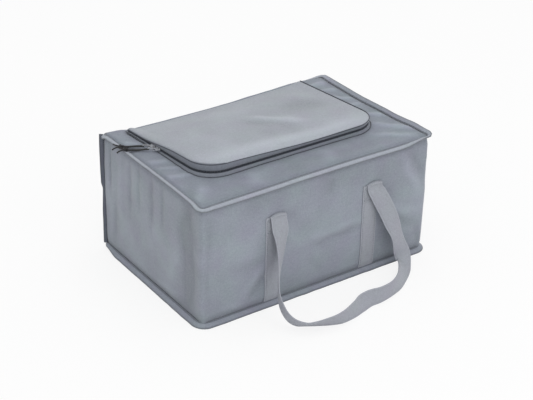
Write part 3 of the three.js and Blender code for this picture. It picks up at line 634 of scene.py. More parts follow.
def cloth_finish(name, colour, cloudiness=0.3):
    """Plain woven polyester with a soft sheen, its weave on the piece's own map."""
    material, w, shader = new_finish(name, Sheen_Weight=0.25, Sheen_Roughness=0.45, Specular_IOR_Level=0.3)
    flat, crest = own_map(w)
    weave = placed_effect(w, "weave", Vector=flat, Pitch=0.62 * MM, Slub=0.35)
    soft = bumped(w, w.noise(flat, 90.0, 3.0, 0.5), 0.5 * MM, 0.5)
    normal = bumped(w, weave["Height"], 0.12 * MM, 0.8, soft)
    marks = {"Threads": weave["Threads"], "Crest": crest, "Cloudiness": cloudiness}
    shaded(w, shader, flat, colour, (30.0, 0.74, 0.9), normal, **marks)
    return material


def tape_finish(name, colour, rib, pick, depth):
    """Ribbed tape or webbing, its ribs along the piece's own map; all three sizes are in millimetres."""
    material, w, shader = new_finish(name, Sheen_Weight=0.2, Sheen_Roughness=0.5, Specular_IOR_Level=0.35)
    flat, crest = own_map(w)
    ribs = placed_effect(w, "ribs", Vector=flat, Rib=rib * MM, Pick=pick * MM)
    # Painted shade in the grooves between the ribs.
    threads = w.sum("SUBTRACT", 0.6, w.sum("MULTIPLY", ribs["Groove"], 1.6))
    marks = {"Threads": threads, "Crest": crest, "Cloudiness": 0.1}
    shaded(w, shader, flat, colour, (80.0, 0.66, 0.88), bumped(w, ribs["Height"], depth * MM, 0.9), **marks)
    return material


def metal_finish(name, colour):
    """Cast and plated zinc with fine scratches where fingers rub it."""
    material, w, shader = new_finish(name, Metallic=1.0)
    place = w.add("ShaderNodeTexCoord").outputs["Object"]
    scratch = w.noise(w.stretched(place, (1.0, 0.08, 1.0)), 5200.0, 2.0)
    wear = placed_effect(w, "wear", Vector=place, Scale=260.0, Low=0.22, High=0.42)
    dull = w.range(wear["Rubbed"], 0.0, 1.0, 0.82, 1.0)
    tone = w.add("ShaderNodeHueSaturation", {"Value": dull, "Color": (*colour, 1.0)}).outputs[0]
    w.feed(shader["Base Color"], tone)
    w.feed(shader["Roughness"], wear["Roughness"])
    w.feed(shader["Normal"], bumped(w, scratch, 0.02 * MM, 0.6))
    return material


# Patterns of the plainer finishes: what marks the tone, and the relief.

def twisted_thread(w, place):
    twist = w.noise(place, 2600.0, 2.0)
    return {"Threads": twist}, twist


def moulded_nylon(w, place):
    return {"Cloudiness": 0.2}, w.noise(place, 900.0)


def braided_cord(w, place):
    crossing = w.add("ShaderNodeTexVoronoi", {"Vector": place, "Scale": 1500.0}).outputs["Distance"]
    # Painted shade between the braid's strands, paler on their tops.
    return {"Threads": w.range(crossing, 0.0, 0.8, 0.9, 0.1)}, w.sum("SUBTRACT", 1.0, crossing)


def foam_cells(w, place):
    cells = w.add("ShaderNodeTexVoronoi", {"Vector": place, "Scale": 900.0}).outputs["Distance"]
    return {"Threads": cells}, cells


def crinkled_film(w, place):
    cells = w.add("ShaderNodeTexVoronoi", {"Vector": place, "Scale": 45.0}, feature="DISTANCE_TO_EDGE")
    # Painted shade along the film's creases.
    crease = w.range(cells.outputs["Distance"], 0.0, 0.12, 0.0, 1.0)
    return {"Threads": crease}, w.sum("MULTIPLY_ADD", crease, 0.3, w.noise(place, 38.0, 3.0, 0.55))


def pressed_fibre(w, place):
    flecks = w.noise(place, 700.0, 4.0, 0.7)
    return {"Threads": flecks}, flecks


def solid_finish(name, colour, pattern, wear, depth, strength, constants):
    """A finish on the piece's own coordinates; its relief is as deep as a number of millimetres."""
    material, w, shader = new_finish(name, **constants)
    place = w.add("ShaderNodeTexCoord").outputs["Object"]
    marks, height = pattern(w, place)
    shaded(w, shader, place, colour, wear, bumped(w, height, depth * MM, strength), **marks)
    return material


# The ribs of each tape: their pitch, the pitch of its picks and its relief, in millimetres
SEAM_RIBS = (1.1, 0.6, 0.12)
ZIP_RIBS = (0.7, 0.5, 0.08)
WEBBING_RIBS = (1.6, 0.9, 0.25)
# Each look: the function that makes it, its colour and what else the function takes.
LOOKS = {
    "wall_cloth": (cloth_finish, "wall"),
    # The border's and the lid's cloth are shaded and lit copies of the walls' cloth.
    "border_cloth": (cloth_finish, "top"),
    "lid_cloth": (cloth_finish, "lid", 0.16),
    "binding_tape": (tape_finish, "binding", *SEAM_RIBS),
    # Shaded copies of the binding tape, painted darker for the foot and the back seams.
    "foot_tape": (tape_finish, "foot", *SEAM_RIBS),
    "back_tape": (tape_finish, "back", *SEAM_RIBS),
    "webbing": (tape_finish, "webbing", *WEBBING_RIBS),
    "zip_tape": (tape_finish, "tape", *ZIP_RIBS),
    "zip_hem": (tape_finish, "hem", *ZIP_RIBS),
    "zip_metal": (metal_finish, "metal"),
    "zip_teeth": (solid_finish, "teeth", moulded_nylon, (400.0, 0.32, 0.5), 0.05, 0.5,
                  {"Specular_IOR_Level": 0.5, "Coat_Weight": 0.1}),
    "pull_cord": (solid_finish, "cord", braided_cord, (200.0, 0.55, 0.8), 0.25, 0.9,
                  {"Sheen_Weight": 0.3, "Sheen_Roughness": 0.4, "Specular_IOR_Level": 0.4}),
    "thread": (solid_finish, "thread", twisted_thread, (300.0, 0.5, 0.75), 0.1, 0.8,
               {"Sheen_Weight": 0.3, "Specular_IOR_Level": 0.4}),
    "foam": (solid_finish, "foam", foam_cells, (60.0, 0.7, 0.85), 0.2, 0.7,
             {"Subsurface_Weight": 0.05, "Specular_IOR_Level": 0.3}),
    "lining": (solid_finish, "lining", crinkled_film, (50.0, 0.26, 0.42), 1.5, 0.8,
               {"Metallic": 0.75, "Coat_Weight": 0.2}),
    "stiffener": (solid_finish, "board", pressed_fibre, (40.0, 0.6, 0.8), 0.1, 0.7,
                  {"Specular_IOR_Level": 0.3}),
}


def finish(name):
    """The material of that name, built when it is first asked for."""
    if name not in FINISHES:
        build, colour, *rest = LOOKS[name]
        FINISHES[name] = build(name, getattr(bpy.context.scene.bag_colours, colour), *rest)
    return FINISHES[name]


def painted(piece, name):
    piece.data.materials.clear()
    piece.data.materials.append(finish(name))
    return piece


def dressed(piece, body, node):
    """Hands a finished piece over to its body and the construction that it stands for."""
    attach(piece, body)
    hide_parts(node)


def folding(piece):
    """Gives a piece of the walls a mesh of its own."""
    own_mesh(piece)


# The shape of the bag

def body_corners():
    half_length = RIM_HIGH.x - bpy.context.scene.bag_sizes.binding_width
    half_depth = RIM_HIGH.y - bpy.context.scene.bag_sizes.binding_width
    return half_length, half_depth


def wall_track():
    """The walls' line from the back left corner round the front to the back right corner."""
    x, y = body_corners()
    radius = bpy.context.scene.bag_sizes.fold_radius
    return Track([(-x, y), (-x, -y), (x, -y), (x, y)], [0, radius, radius, 0], False)


def rim_track(front_radius):
    """The line of the top or the bottom seam, all the way round from the back left corner."""
    x, y = body_corners()
    sizes = bpy.context.scene.bag_sizes
    radii = [sizes.back_radius, front_radius, front_radius, sizes.back_radius]
    return Track([(-x, y), (-x, -y), (x, -y), (x, y)], radii, True)


# Folds of the walls: (place along the wall, height) of both ends, width and depth, in millimetres.
# On the left end a place is measured from the front corner to the back,
# and on the front from the left corner.
LEFT_FOLDS = (
    ((36, 216), (40, 6), 22, -4.0), ((111, 213), (116, 120), 6, -1.5), ((146, 213), (148, 100), 6, -1.7),
    ((188, 213), (186, 130), 6, -1.6), ((213, 213), (216, 104), 6, -1.7), ((246, 205), (250, 90), 8, 1.1),
    ((282, 214), (281, 112), 3.4, -2.4), ((66, 120), (90, 30), 12, 1.2), ((262, 110), (272, 30), 8, -1.5),
    ((60, 30), (150, 14), 8, 1.0),
)
FRONT_FOLDS = (
    ((196, 86), (330, 92), 9, -1.7), ((205, 98), (320, 104), 10, 1.3), ((40, 82), (128, 88), 12, -0.8),
    ((84, 20), (126, 66), 7, -1.3), ((78, 40), (124, 82), 7, 1.2), ((12, 196), (8, 30), 8, -1.2),
    ((30, 30), (70, 12), 9, 1.0), ((205, 70), (235, 26), 8, -1.0), ((150, 178), (190, 132), 10, -0.8),
    ((352, 96), (430, 62), 8, -1.6), ((356, 112), (438, 82), 9, 1.5), ((392, 206), (436, 120), 9, 1.6),
    ((412, 206), (444, 140), 7, -1.3), ((432, 60), (446, 14), 8, -1.3), ((250, 206), (242, 168), 10, -0.8),
)
# How far the walls' cloth swells off the foam between its folds, in millimetres.
WALL_SWELL = 1.8


def relief_at(folds, place, z, seed, bow):
    """How far a wall's cloth stands out at a place along it and a height; it lies flat at both hems."""
    x = place / MM
    up = z / MM
    lift = sum(fold(x, up, *row) for row in folds)
    lift += 0.9 * ripple(x, up, 70, seed)
    lift += 0.35 * ripple(x, up, 26, seed + 3)
    lift += 0.45 * (crumple(x, up, 58, seed + 7) - 0.3)
    swell = (lift + WALL_SWELL) * MM + bow * math.sin(math.pi * z / TOP)
    edge = smooth_step(0, 18 * MM, z - 3 * MM) * smooth_step(0, 14 * MM, TOP - 3 * MM - z)
    return max(0.0, edge * swell)


def front_relief(x, z):
    """How far the front wall stands out, x measured from the bag's middle and z up from the floor."""
    return relief_at(FRONT_FOLDS, x + body_corners()[0], z, 1.3, 1.2 * MM)


def side_relief(from_front, z, side):
    """How far an end wall stands out, measured from its front corner and up from the floor."""
    return relief_at(LEFT_FOLDS, from_front, z, 11.7 if side < 0 else 23.1, 1.0 * MM)


def back_relief(x, z):
    """How far the back wall stands out, with the front wall's first folds."""
    half_length, _ = body_corners()
    inside = smooth_step(0, 10 * MM, half_length - abs(x))
    return inside * relief_at(FRONT_FOLDS[:9], half_length - x, z, 31.9, 1.0 * MM)


def wall_relief(point, normal, z):
    """How far the walls' cloth stands out beyond a place on their line, seen from above."""
    front = front_relief(point.x, z)
    side = side_relief(point.y + body_corners()[1], z, normal.x)
    share = smooth_step(0.15, 0.85, abs(normal.x))
    return front * (1 - share) + side * share


def keep_painted_light(piece, values):
    """Keeps a value for each point of a piece, painted onto its colour as light and shade: paler above 0
    and darker below it.
    """
    crest = piece.data.attributes.new("crest", "FLOAT", "POINT")
    for i, value in enumerate(values):
        crest.data[i].value = value


def store_fold_shade(piece, heights, low, high):
    """Keeps how high each point's fold stands, from -1 at the low height to 1 at the high one, as painted
    shade in the hollows and painted light on the crests.
    """
    shares = [min(1.0, max(0.0, (height - low) / (high - low))) for height in heights]
    keep_painted_light(piece, [2 * (share - 0.5) for share in shares])


def standing_profile(share, hem, point, normal):
    """A wall's section from its lower hem to its upper one, as (reach outwards, height)."""
    low = FOOT_ROOT - 0.6 * MM
    high = TOP - 2.0 * MM + rim_lift(point, normal)
    height = high - low
    along = share * (height + 2 * hem)
    if along < hem:
        turn = math.radians(round_the_rim(FOOT_ANGLES, point, normal))
        return (hem - along) * math.cos(turn), low + (hem - along) * math.sin(turn)
    if along > hem + height:
        turn = math.radians(round_the_rim(RIM_ANGLES, point, normal))
        out = along - hem - height
        return out * math.cos(turn), high + out * math.sin(turn)
    return 0.0, low + along - hem


def wall_sheet(name, node, columns, rows, length, line_at, relief):
    """A wall's cloth; line_at(distance) gives a place on its line and what faces outwards there."""
    sizes = bpy.context.scene.bag_sizes
    heights = []

    def place(across, up):
        point, normal = line_at(across * length)
        reach, z = standing_profile(up, sizes.hem, point, normal)
        heights.append(relief(point, normal, z))
        flat = point + normal * (reach + heights[-1])
        return raised(flat, z)

    piece = laid_cloth(name, columns, rows, (length, TOP - FOOT_ROOT + 2 * sizes.hem), place)
    # Painted shade in the walls' fold hollows and painted light on their crests.
    store_fold_shade(piece, heights, -0.4 * MM, 5.2 * MM)
    thickened(piece, sizes.cloth, "wall_cloth")
    dressed(piece, "shell", node)
    folding(piece)


class BAG_OT_side_wall(bpy.types.Operator):
    """Folds one sheet of cloth round the left end, the front and the right end"""
    bl_idname = "bag.side_wall"
    bl_label = "Side wall"

    def execute(self, context):
        track = wall_track()
        wall_sheet("side_wall_cloth", "side_wrap", 350, 86, track.length, track.at, wall_relief)
        return {"FINISHED"}


class BAG_OT_back_wall(bpy.types.Operator):
    """Stands the back wall's cloth between the two back seams"""
    bl_idname = "bag.back_wall"
    bl_label = "Back wall"

    def execute(self, context):
        def line_at(distance):
            return Vector((BACK_HIGH.x - distance, BACK_HIGH.y)), Vector((0, 1))

        def relief(point, normal, z):
            return back_relief(point.x, z)

        wall_sheet("back_wall_cloth", "back_panel", 150, 80, BACK_HIGH.x - BACK_LOW.x, line_at, relief)
        return {"FINISHED"}


# How the top seam lies, by the share of each side that has been passed on the way round from the
# back left corner: the angle in degrees that its binding stands up from level, and how far the seam
# is lifted, in millimetres.
RIM_ANGLES = (
    ((0, -40), (0.06, -4), (0.3, 12), (0.75, 14), (0.93, 6), (1, -14)),
    ((0, -20), (0.06, -28), (0.25, -33), (0.6, -34), (0.85, -24), (1, 26)),
    ((0, 46), (0.1, 58), (0.5, 58), (0.9, 52), (1, 24)),
    ((0, 0), (0.12, -40), (0.5, -62), (0.85, -60), (1, -44)),
)
RIM_LIFTS = (
    ((0, 0.4), (0.1, 1.2), (0.3, 0.6), (0.6, 1.0), (0.92, 0.6), (1, -0.8)),
    ((0, -0.8), (0.05, 0.4), (0.2, 1.2), (0.42, 2.6), (0.62, 3.2), (0.85, 1.4), (1, 0.6)),
    ((0, 1.6), (0.3, 1.4), (0.7, 0.6), (1, 0.2)),
    ((0, 0.2), (0.5, 0), (1, 0.4)),
)
# The bottom seam droops from its root to the floor.
FOOT_ANGLES = (
    ((0, -30), (0.5, -33), (1, -30)),
    ((0, -30), (0.3, -27), (0.7, -30), (1, -28)),
    ((0, -28), (0.5, -31), (1, -30)),
    ((0, -30), (0.5, -32), (1, -30)),
)
EVEN = ((0, 1.0), (1, 1.0))
FOOT_WIDTHS = (((0, 0.6), (0.14, 0.96), (1, 1.0)), EVEN, EVEN, ((0, 1.0), (0.92, 0.96), (1, 0.6)))
FOOT_ROOT = 7.6 * MM
FOOT_PINCH = 3.6 * MM
# Binding is wider where its tape was sewn with more of the cloth, by the side that it stands on.
RIM_WIDTHS = (EVEN, EVEN, ((0, 0.9), (0.12, 0.98), (0.85, 1.0), (1, 0.98)), EVEN)


def from_table(table, share):
    """The value of a row of (share, value) pairs at a share, eased from pair to pair."""
    for (start, low), (end, high) in zip(table, table[1:]):
        if share <= end:
            return low + (high - low) * smooth_step(start, end, share)
    return table[-1][1]


def round_the_rim(tables, point, normal):
    """Reads four tables, one for each side, and mixes two of them at a corner."""
    half_length, half_depth = body_corners()
    along_x = (point.x + half_length) / (2 * half_length)
    along_y = (point.y + half_depth) / (2 * half_depth)
    places = (1 - along_y, along_x, along_y, 1 - along_x)
    weights = (max(0, -normal.x) ** 2, max(0, -normal.y) ** 2, max(0, normal.x) ** 2, max(0, normal.y) ** 2)
    total = sum(weights)
    return sum(w * from_table(t, p) for w, t, p in zip(weights, tables, places)) / total


# How far the bag's back edge sags: (place along X, sag), in millimetres.
BACK_SAG = ((-225, 0), (-208, 1.2), (-172, 6.2), (-110, 7.4), (10, 7.4), (95, 5.2), (165, 3.4), (225, 1.8))
# How far its right edge sags: (place along Y, sag), in millimetres.
RIGHT_SAG = ((-155, -0.6), (-120, 0.8), (-50, 6.0), (50, 9.2), (120, 7.6), (155, 5.4))


def back_sag(x, y):
    """How far the top hangs down at a place, most of all at its back and right edges."""
    back = from_table(BACK_SAG, x / MM) * smooth_step(30 * MM, 148 * MM, y)
    return (back + from_table(RIGHT_SAG, y / MM) * smooth_step(168 * MM, 218 * MM, x)) * MM


def lid_sag(x, y, inside):
    """How far the lid hangs down with the top at a distance inside its stiff edge."""
    return back_sag(x, y) * smooth_step(-4 * MM, 24 * MM, inside)


def folding_sag(x, y):
    """How much lower a layer that folds with the walls ends, so that it stays under the top once folded."""
    return back_sag(x, y) / FOLDED_SHARE


def rim_lift(point, normal):
    return round_the_rim(RIM_LIFTS, point, normal) * MM - back_sag(point.x, point.y)


# The section of a bound seam, grooved at its stitches: (share of its width, share of half its thickness).
SEAM_SECTION = (
    (0.04, 0.34), (0.1, 0.84), (0.16, 1.04), (0.22, 0.6), (0.28, 1.06), (0.36, 1.14), (0.55, 1.1),
    (0.74, 1), (0.84, 0.88), (0.94, 0.6), (1, 0), (0.94, -0.6), (0.84, -0.88), (0.74, -1), (0.55, -1.04),
    (0.36, -1.04), (0.28, -1.02), (0.22, -0.64), (0.16, -1.02), (0.1, -0.84), (0.04, -0.34), (0.02, 0),
)
STITCH_SHARE = 0.22
STITCH_RISE = 0.78
# How pale a bound seam is painted by the share of its width: painted shade in its root, in the grooves at
# its stitches and along its edge, and painted light on its middle.
SEAM_PAINTED_SHADE = (
    (0, -2.4), (0.1, -2.2), (0.16, -0.2), (0.22, -2.2), (0.28, -0.2), (0.36, 0.6), (0.74, 0.5),
    (0.84, -0.4), (1, -1.9),
)


def taped_seam(name, look, columns, length, section_at, facing, steps, ends=""):
    """A strip of tape folded over a seam, with stitches on both faces.

    section_at(share of the length, share of the width, share of half the thickness) lays its points.
    With a text for ends, its ends are closed and the text goes after its name.
    """
    sizes = bpy.context.scene.bag_sizes
    count = len(SEAM_SECTION)
    seam_shades = []

    def place(across, up):
        row = SEAM_SECTION[round(up * count) % count]
        # Painted shade in the seam's root, stitch grooves and edge, and painted light on its middle.
        seam_shades.append(from_table(SEAM_PAINTED_SHADE, row[0]))
        return section_at(across, *row)

    girth = 2 * (sizes.binding_width + sizes.binding_height)
    strip = laid_cloth(name, columns, count, (length, girth), place)
    keep_painted_light(strip, seam_shades)
    close_seams(strip)
    if ends:
        cap_ends(strip)
    pieces = [painted(strip, look)]
    for face in (1, -1):
        route = [section_at(step / steps, STITCH_SHARE, STITCH_RISE * face) for step in range(steps + 1)]
        seam = seam_of_stitches(name + "_stitches", route, lambda place: facing * face, sizes)
        pieces.append(painted(seam, "thread"))
    return joined(pieces, name + ends)


def bound_seam(name, look, radius, middle_at, angles, width, widths, seed):
    """A bound seam all the way round the bag; middle_at(point, normal) is the height of its root."""
    track = rim_track(radius)
    half = bpy.context.scene.bag_sizes.binding_height / 2

    def section_at(share, out_share, thick_share):
        point, normal = track.at_share(share)

        def waver(scale, shift=0):
            return ripple(point.x / MM, point.y / MM, scale, seed + shift)

        angle = math.radians(round_the_rim(angles, point, normal) + (3.0 * waver(34) + 2.0 * waver(13)))
        out = width * round_the_rim(widths, point, normal) * (1 + 0.03 * waver(20, 4)) * out_share
        thick = half * thick_share * (1 + 0.12 * waver(9, 8))
        flat = point + normal * (out * math.cos(angle) - thick * math.sin(angle))
        rise = out * math.sin(angle) + thick * math.cos(angle)
        return raised(flat, middle_at(point, normal) + rise)

    return taped_seam(name, look, 640, track.length, section_at, UP, int(track.length / (3 * MM)))


class BAG_OT_top_seam(bpy.types.Operator):
    """Binds the seam between the walls and the top"""
    bl_idname = "bag.top_seam"
    bl_label = "Top seam"

    def execute(self, context):
        sizes = context.scene.bag_sizes

        def middle_at(point, normal):
            return TOP - sizes.binding_height / 2 + rim_lift(point, normal)

        piece = bound_seam(
            "top_seam_binding", "binding_tape", sizes.rim_radius, middle_at,
            RIM_ANGLES, sizes.binding_width, RIM_WIDTHS, 3.1,
        )
        dressed(piece, "top", "top_binding")
        return {"FINISHED"}


class BAG_OT_bottom_seam(bpy.types.Operator):
    """Binds the seam between the walls and the base"""
    bl_idname = "bag.bottom_seam"
    bl_label = "Bottom seam"

    def execute(self, context):
        sizes = context.scene.bag_sizes
        piece = bound_seam(
            "bottom_seam_binding", "foot_tape", sizes.foot_radius, lambda point, normal: FOOT_ROOT,
            FOOT_ANGLES, sizes.binding_width + FOOT_PINCH, FOOT_WIDTHS, 8.7,
        )
        dressed(piece, "shell", "bottom_binding")
        return {"FINISHED"}


# How each back seam buckles, by the share of its height: its lean outwards and its reach, in millimetres.
BACK_LEANS = ((0, 0), (0.3, 0.8), (0.5, -1.2), (0.57, 1.6), (0.72, 0.8), (0.9, 0.3), (1, 0))
BACK_REACHES = ((0, -1.2), (0.3, -1.6), (0.5, -2.4), (0.57, -0.4), (0.72, 0.4), (0.9, 0.8), (1, 0.4))


class BAG_OT_back_seams(bpy.types.Operator):
    """Binds the two seams up the back corners"""
    bl_idname = "bag.back_seams"
    bl_label = "Back seams"

    def execute(self, context):
        self.seam(context.scene.bag_sizes, "back_left_binding", -1)
        self.seam(context.scene.bag_sizes, "back_right_binding", 1)
        return {"FINISHED"}

    def seam(self, sizes, name, side):
        half_length, half_depth = body_corners()
        corner = Vector((side * half_length, half_depth))
        outward = Vector((side, 1)).normalized()
        across_way = Vector((-outward.y, outward.x))
        low = FOOT_ROOT
        high = TOP - 3.4 * MM + rim_lift(corner, outward)
        root = 0.6 * MM

        def section_at(share, out_share, thick_share):
            z = low + (high - low) * share
            lean = from_table(BACK_LEANS, share) * MM + 0.5 * MM * ripple(z / MM, 3.0, 22, side + 5.5)
            out = root + (sizes.binding_width - root + from_table(BACK_REACHES, share) * MM) * out_share
            thick = sizes.binding_height / 2 * thick_share
            flat = corner + outward * out + across_way * (thick + lean * out_share)
            return raised(flat, z)

        facing = raised(across_way, 0)
        piece = taped_seam(name, "back_tape", 90, high - low, section_at, facing, 70, "_tape")
        dressed(piece, "shell", name)
        folding(piece)


# The lid and its zip

def lean_at(y):
    """How far the lid's middle lies to the left at a place along Y."""
    return bpy.context.scene.bag_sizes.lid_lean * (y - lid_front()) / (HINGE.y - lid_front())


def lid_outline(growth):
    """The lid's outline grown by a distance: half its width, its corners' radius and its front's place."""
    sizes = bpy.context.scene.bag_sizes
    return sizes.lid_width / 2 + growth, sizes.lid_radius + growth, lid_front() - growth


def lid_corners(growth, end):
    """The corners of the lid's outline, grown by a distance and ending at a place along Y."""
    half, _, front = lid_outline(growth)
    return [(-half - lean_at(end), end), (-half, front), (half, front), (half - lean_at(end), end)]


def lid_front():
    return LID_LOW.y + bpy.context.scene.bag_sizes.lid_overhang


def zip_end():
    return HINGE.y - bpy.context.scene.bag_sizes.lid_flap


def zip_track(growth=0.0):
    """The zip's line: down the lid's left side, along its front and up its right side."""
    _, radius, _ = lid_outline(growth)
    return Track(lid_corners(growth, zip_end()), [0, radius, radius, 0], False)


def mouth_track():
    """The edge of the opening under the lid."""
    growth = -2 * MM
    _, radius, _ = lid_outline(growth)
    return Track(lid_corners(growth, HINGE.y), [1 * MM, radius, radius, 1 * MM], True)


def band_height(y):
    """The height of the zip band at a place along Y."""
    sizes = bpy.context.scene.bag_sizes
    share = (y - lid_front()) / (zip_end() - lid_front())
    return sizes.band_front + (sizes.band_back - sizes.band_front) * share


# Folds of the border round the lid: both ends from the bag's middle, width and height, in millimetres.
BORDER_FOLDS = (
    ((-222, 96), (-190, 84), 6, 1.6), ((-222, 60), (-188, 52), 5, 1.4), ((-222, 18), (-184, 6), 6, 1.8),
    ((-222, -8), (-182, -22), 5, 1.5), ((-224, -44), (-178, -52), 6, 1.7),
    ((-222, -140), (-186, -92), 9, 2.0), ((-120, -146), (-96, -96), 14, 1.0),
    ((30, -146), (44, -96), 14, 1.2), ((170, 116), (220, 132), 7, 2.6), ((168, 92), (222, 96), 6, 2.2),
    ((168, 62), (222, 50), 8, 3.0), ((172, 20), (222, 22), 7, 2.4), ((176, -16), (222, -38), 8, 3.0),
    ((176, -62), (224, -120), 8, 3.4), ((150, -96), (214, -140), 9, 2.2),
)


def border_relief(x, y):
    """How far the border's cloth is lifted above the flat top."""
    px = x / MM
    py = y / MM
    lift = sum(fold(px, py, *row) for row in BORDER_FOLDS)
    lift += 0.5 * ripple(px, py, 60, 41.0) + 0.3 * ripple(px, py, 24, 44.0)
    lift += 0.5 * crumple(px, py, 50, 47.0)
    return (0.4 + max(-0.6, lift)) * MM


def edge_lift(rim_point, normal, share):
    """How far the border is lifted by the rim, by its share of the way in to the zip."""
    return round_the_rim(RIM_LIFTS, rim_point, normal) * MM * (1 - smooth_step(0.1, 0.95, share))


def straight_breaks(track):
    """Where a track's straight runs and its corners meet."""
    marks = [0.0]
    for i in range(1, len(track.points)):
        before = track.normals[i - 1]
        if (track.normals[i] - before).length < 1e-6 and track.marks[i] - track.marks[i - 1] > 3 * MM:
            marks.extend([track.marks[i - 1], track.marks[i]])
    marks.append(track.length)
    return sorted(set(round(mark, 7) for mark in marks))


def ring_grid(name, outer, rows, columns, place, heights=()):
    """A frame of cloth from a track in to the opening, laid by place(point, share, normal, rim point)."""
    inner = mouth_track()
    outer_breaks = straight_breaks(outer)
    inner_breaks = straight_breaks(inner)
    if len(outer_breaks) != len(inner_breaks):
        raise RuntimeError(f"{name}: the two edges of the ring have different corners")
    spans = [
        (b - a) + (d - c)
        for a, b, c, d in zip(outer_breaks, outer_breaks[1:], inner_breaks, inner_breaks[1:])
    ]
    shares = [0.0]
    for span in spans:
        shares.append(shares[-1] + span / sum(spans))

    def lay(across, up):
        i, part = locate(shares, across)
        from_point, normal = outer.at(outer_breaks[i] + (outer_breaks[i + 1] - outer_breaks[i]) * part)
        to_point, _ = inner.at(inner_breaks[i] + (inner_breaks[i + 1] - inner_breaks[i]) * part)
        return place(from_point.lerp(to_point, up), up, normal, from_point)

    piece = laid_cloth(name, columns, rows, (outer.length, 0.06), lay)
    # Painted shade in the border's fold hollows and painted light on their crests.
    if heights:
        store_fold_shade(piece, heights, -0.6 * MM, 2.8 * MM)
    map_from_above(piece)
    close_seams(piece)
    return piece


class BAG_OT_top_border(bpy.types.Operator):
    """Lays the border of cloth round the lid, from the top seam to the zip"""
    bl_idname = "bag.top_border"
    bl_label = "Top border"

    def execute(self, context):
        sizes = context.scene.bag_sizes
        heights = []
        surface = TOP - sizes.binding_height / 2 + sizes.cloth / 2

        def place(point, share, normal, rim_point):
            lift = border_relief(point.x, point.y) * smooth_step(0.0, 0.16, share)
            rise = (TOP - surface) * smooth_step(0.02, 0.12, share)
            rise += edge_lift(rim_point, normal, share) - back_sag(point.x, point.y)
            heights.append(lift)
            return raised(point, surface + rise + lift)

        piece = ring_grid("top_border_cloth", rim_track(sizes.rim_radius), 34, 420, place, heights)
        thickened(piece, sizes.cloth, "border_cloth")
        dressed(piece, "top", "top_panel")
        return {"FINISHED"}


# Folds of the lid: both ends from the bag's middle, width and height, in millimetres.
LID_FOLDS = (
    ((-18, 44), (62, -26), 9, 2.6), ((-30, 30), (40, -40), 16, -1.2), ((-60, 92), (10, 60), 22, 1.0),
    ((-150, 40), (-90, -50), 20, 1.0), ((60, 60), (130, 0), 20, -1.2), ((-130, -64), (130, -66), 12, 1.4),
    ((-40, -20), (40, -60), 16, -0.8),
)
LID_CROWN = 4.6 * MM
LID_ROLL = 4.5 * MM
LID_CORNER_RISE = 7.5 * MM


def lid_rise(x, y):
    """How far the lid's stiff edge stands up towards its front left corner."""
    return LID_CORNER_RISE * smooth_step(95 * MM, -10 * MM, y) * smooth_step(70 * MM, -165 * MM, x)


def lid_surface(y):
    """The height of the lid's flat face at a place along Y."""
    return TOP + band_height(min(y, zip_end())) + bpy.context.scene.bag_sizes.cloth


def lid_half_width(y, growth):
    """Half the lid's width at a place along Y, narrowing round its front corners."""
    half, radius, front = lid_outline(growth)
    depth = y - front
    if depth >= radius:
        return half
    return half - radius + math.sqrt(max(0.0, radius * radius - (radius - depth) ** 2))


def lid_edge_distance(x, y, growth):
    """How far a place on the lid lies inside its outline."""
    half, radius, front = lid_outline(growth)
    if half - abs(x) < radius and y - front < radius:
        return radius - math.hypot(abs(x) - (half - radius), y - front - radius)
    return min(half - abs(x), y - front)


def lid_rows(growth, end, corner_rows, rows):
    """The function that gives a row's place along Y by its share, closer round the front corners."""
    _, radius, front = lid_outline(growth)

    def row_y(share):
        step = share * rows
        if step <= corner_rows:
            return front + radius * (1 - math.cos(math.pi / 2 * step / corner_rows))
        return front + radius + (end - front - radius) * (step - corner_rows) / (rows - corner_rows)

    return row_y


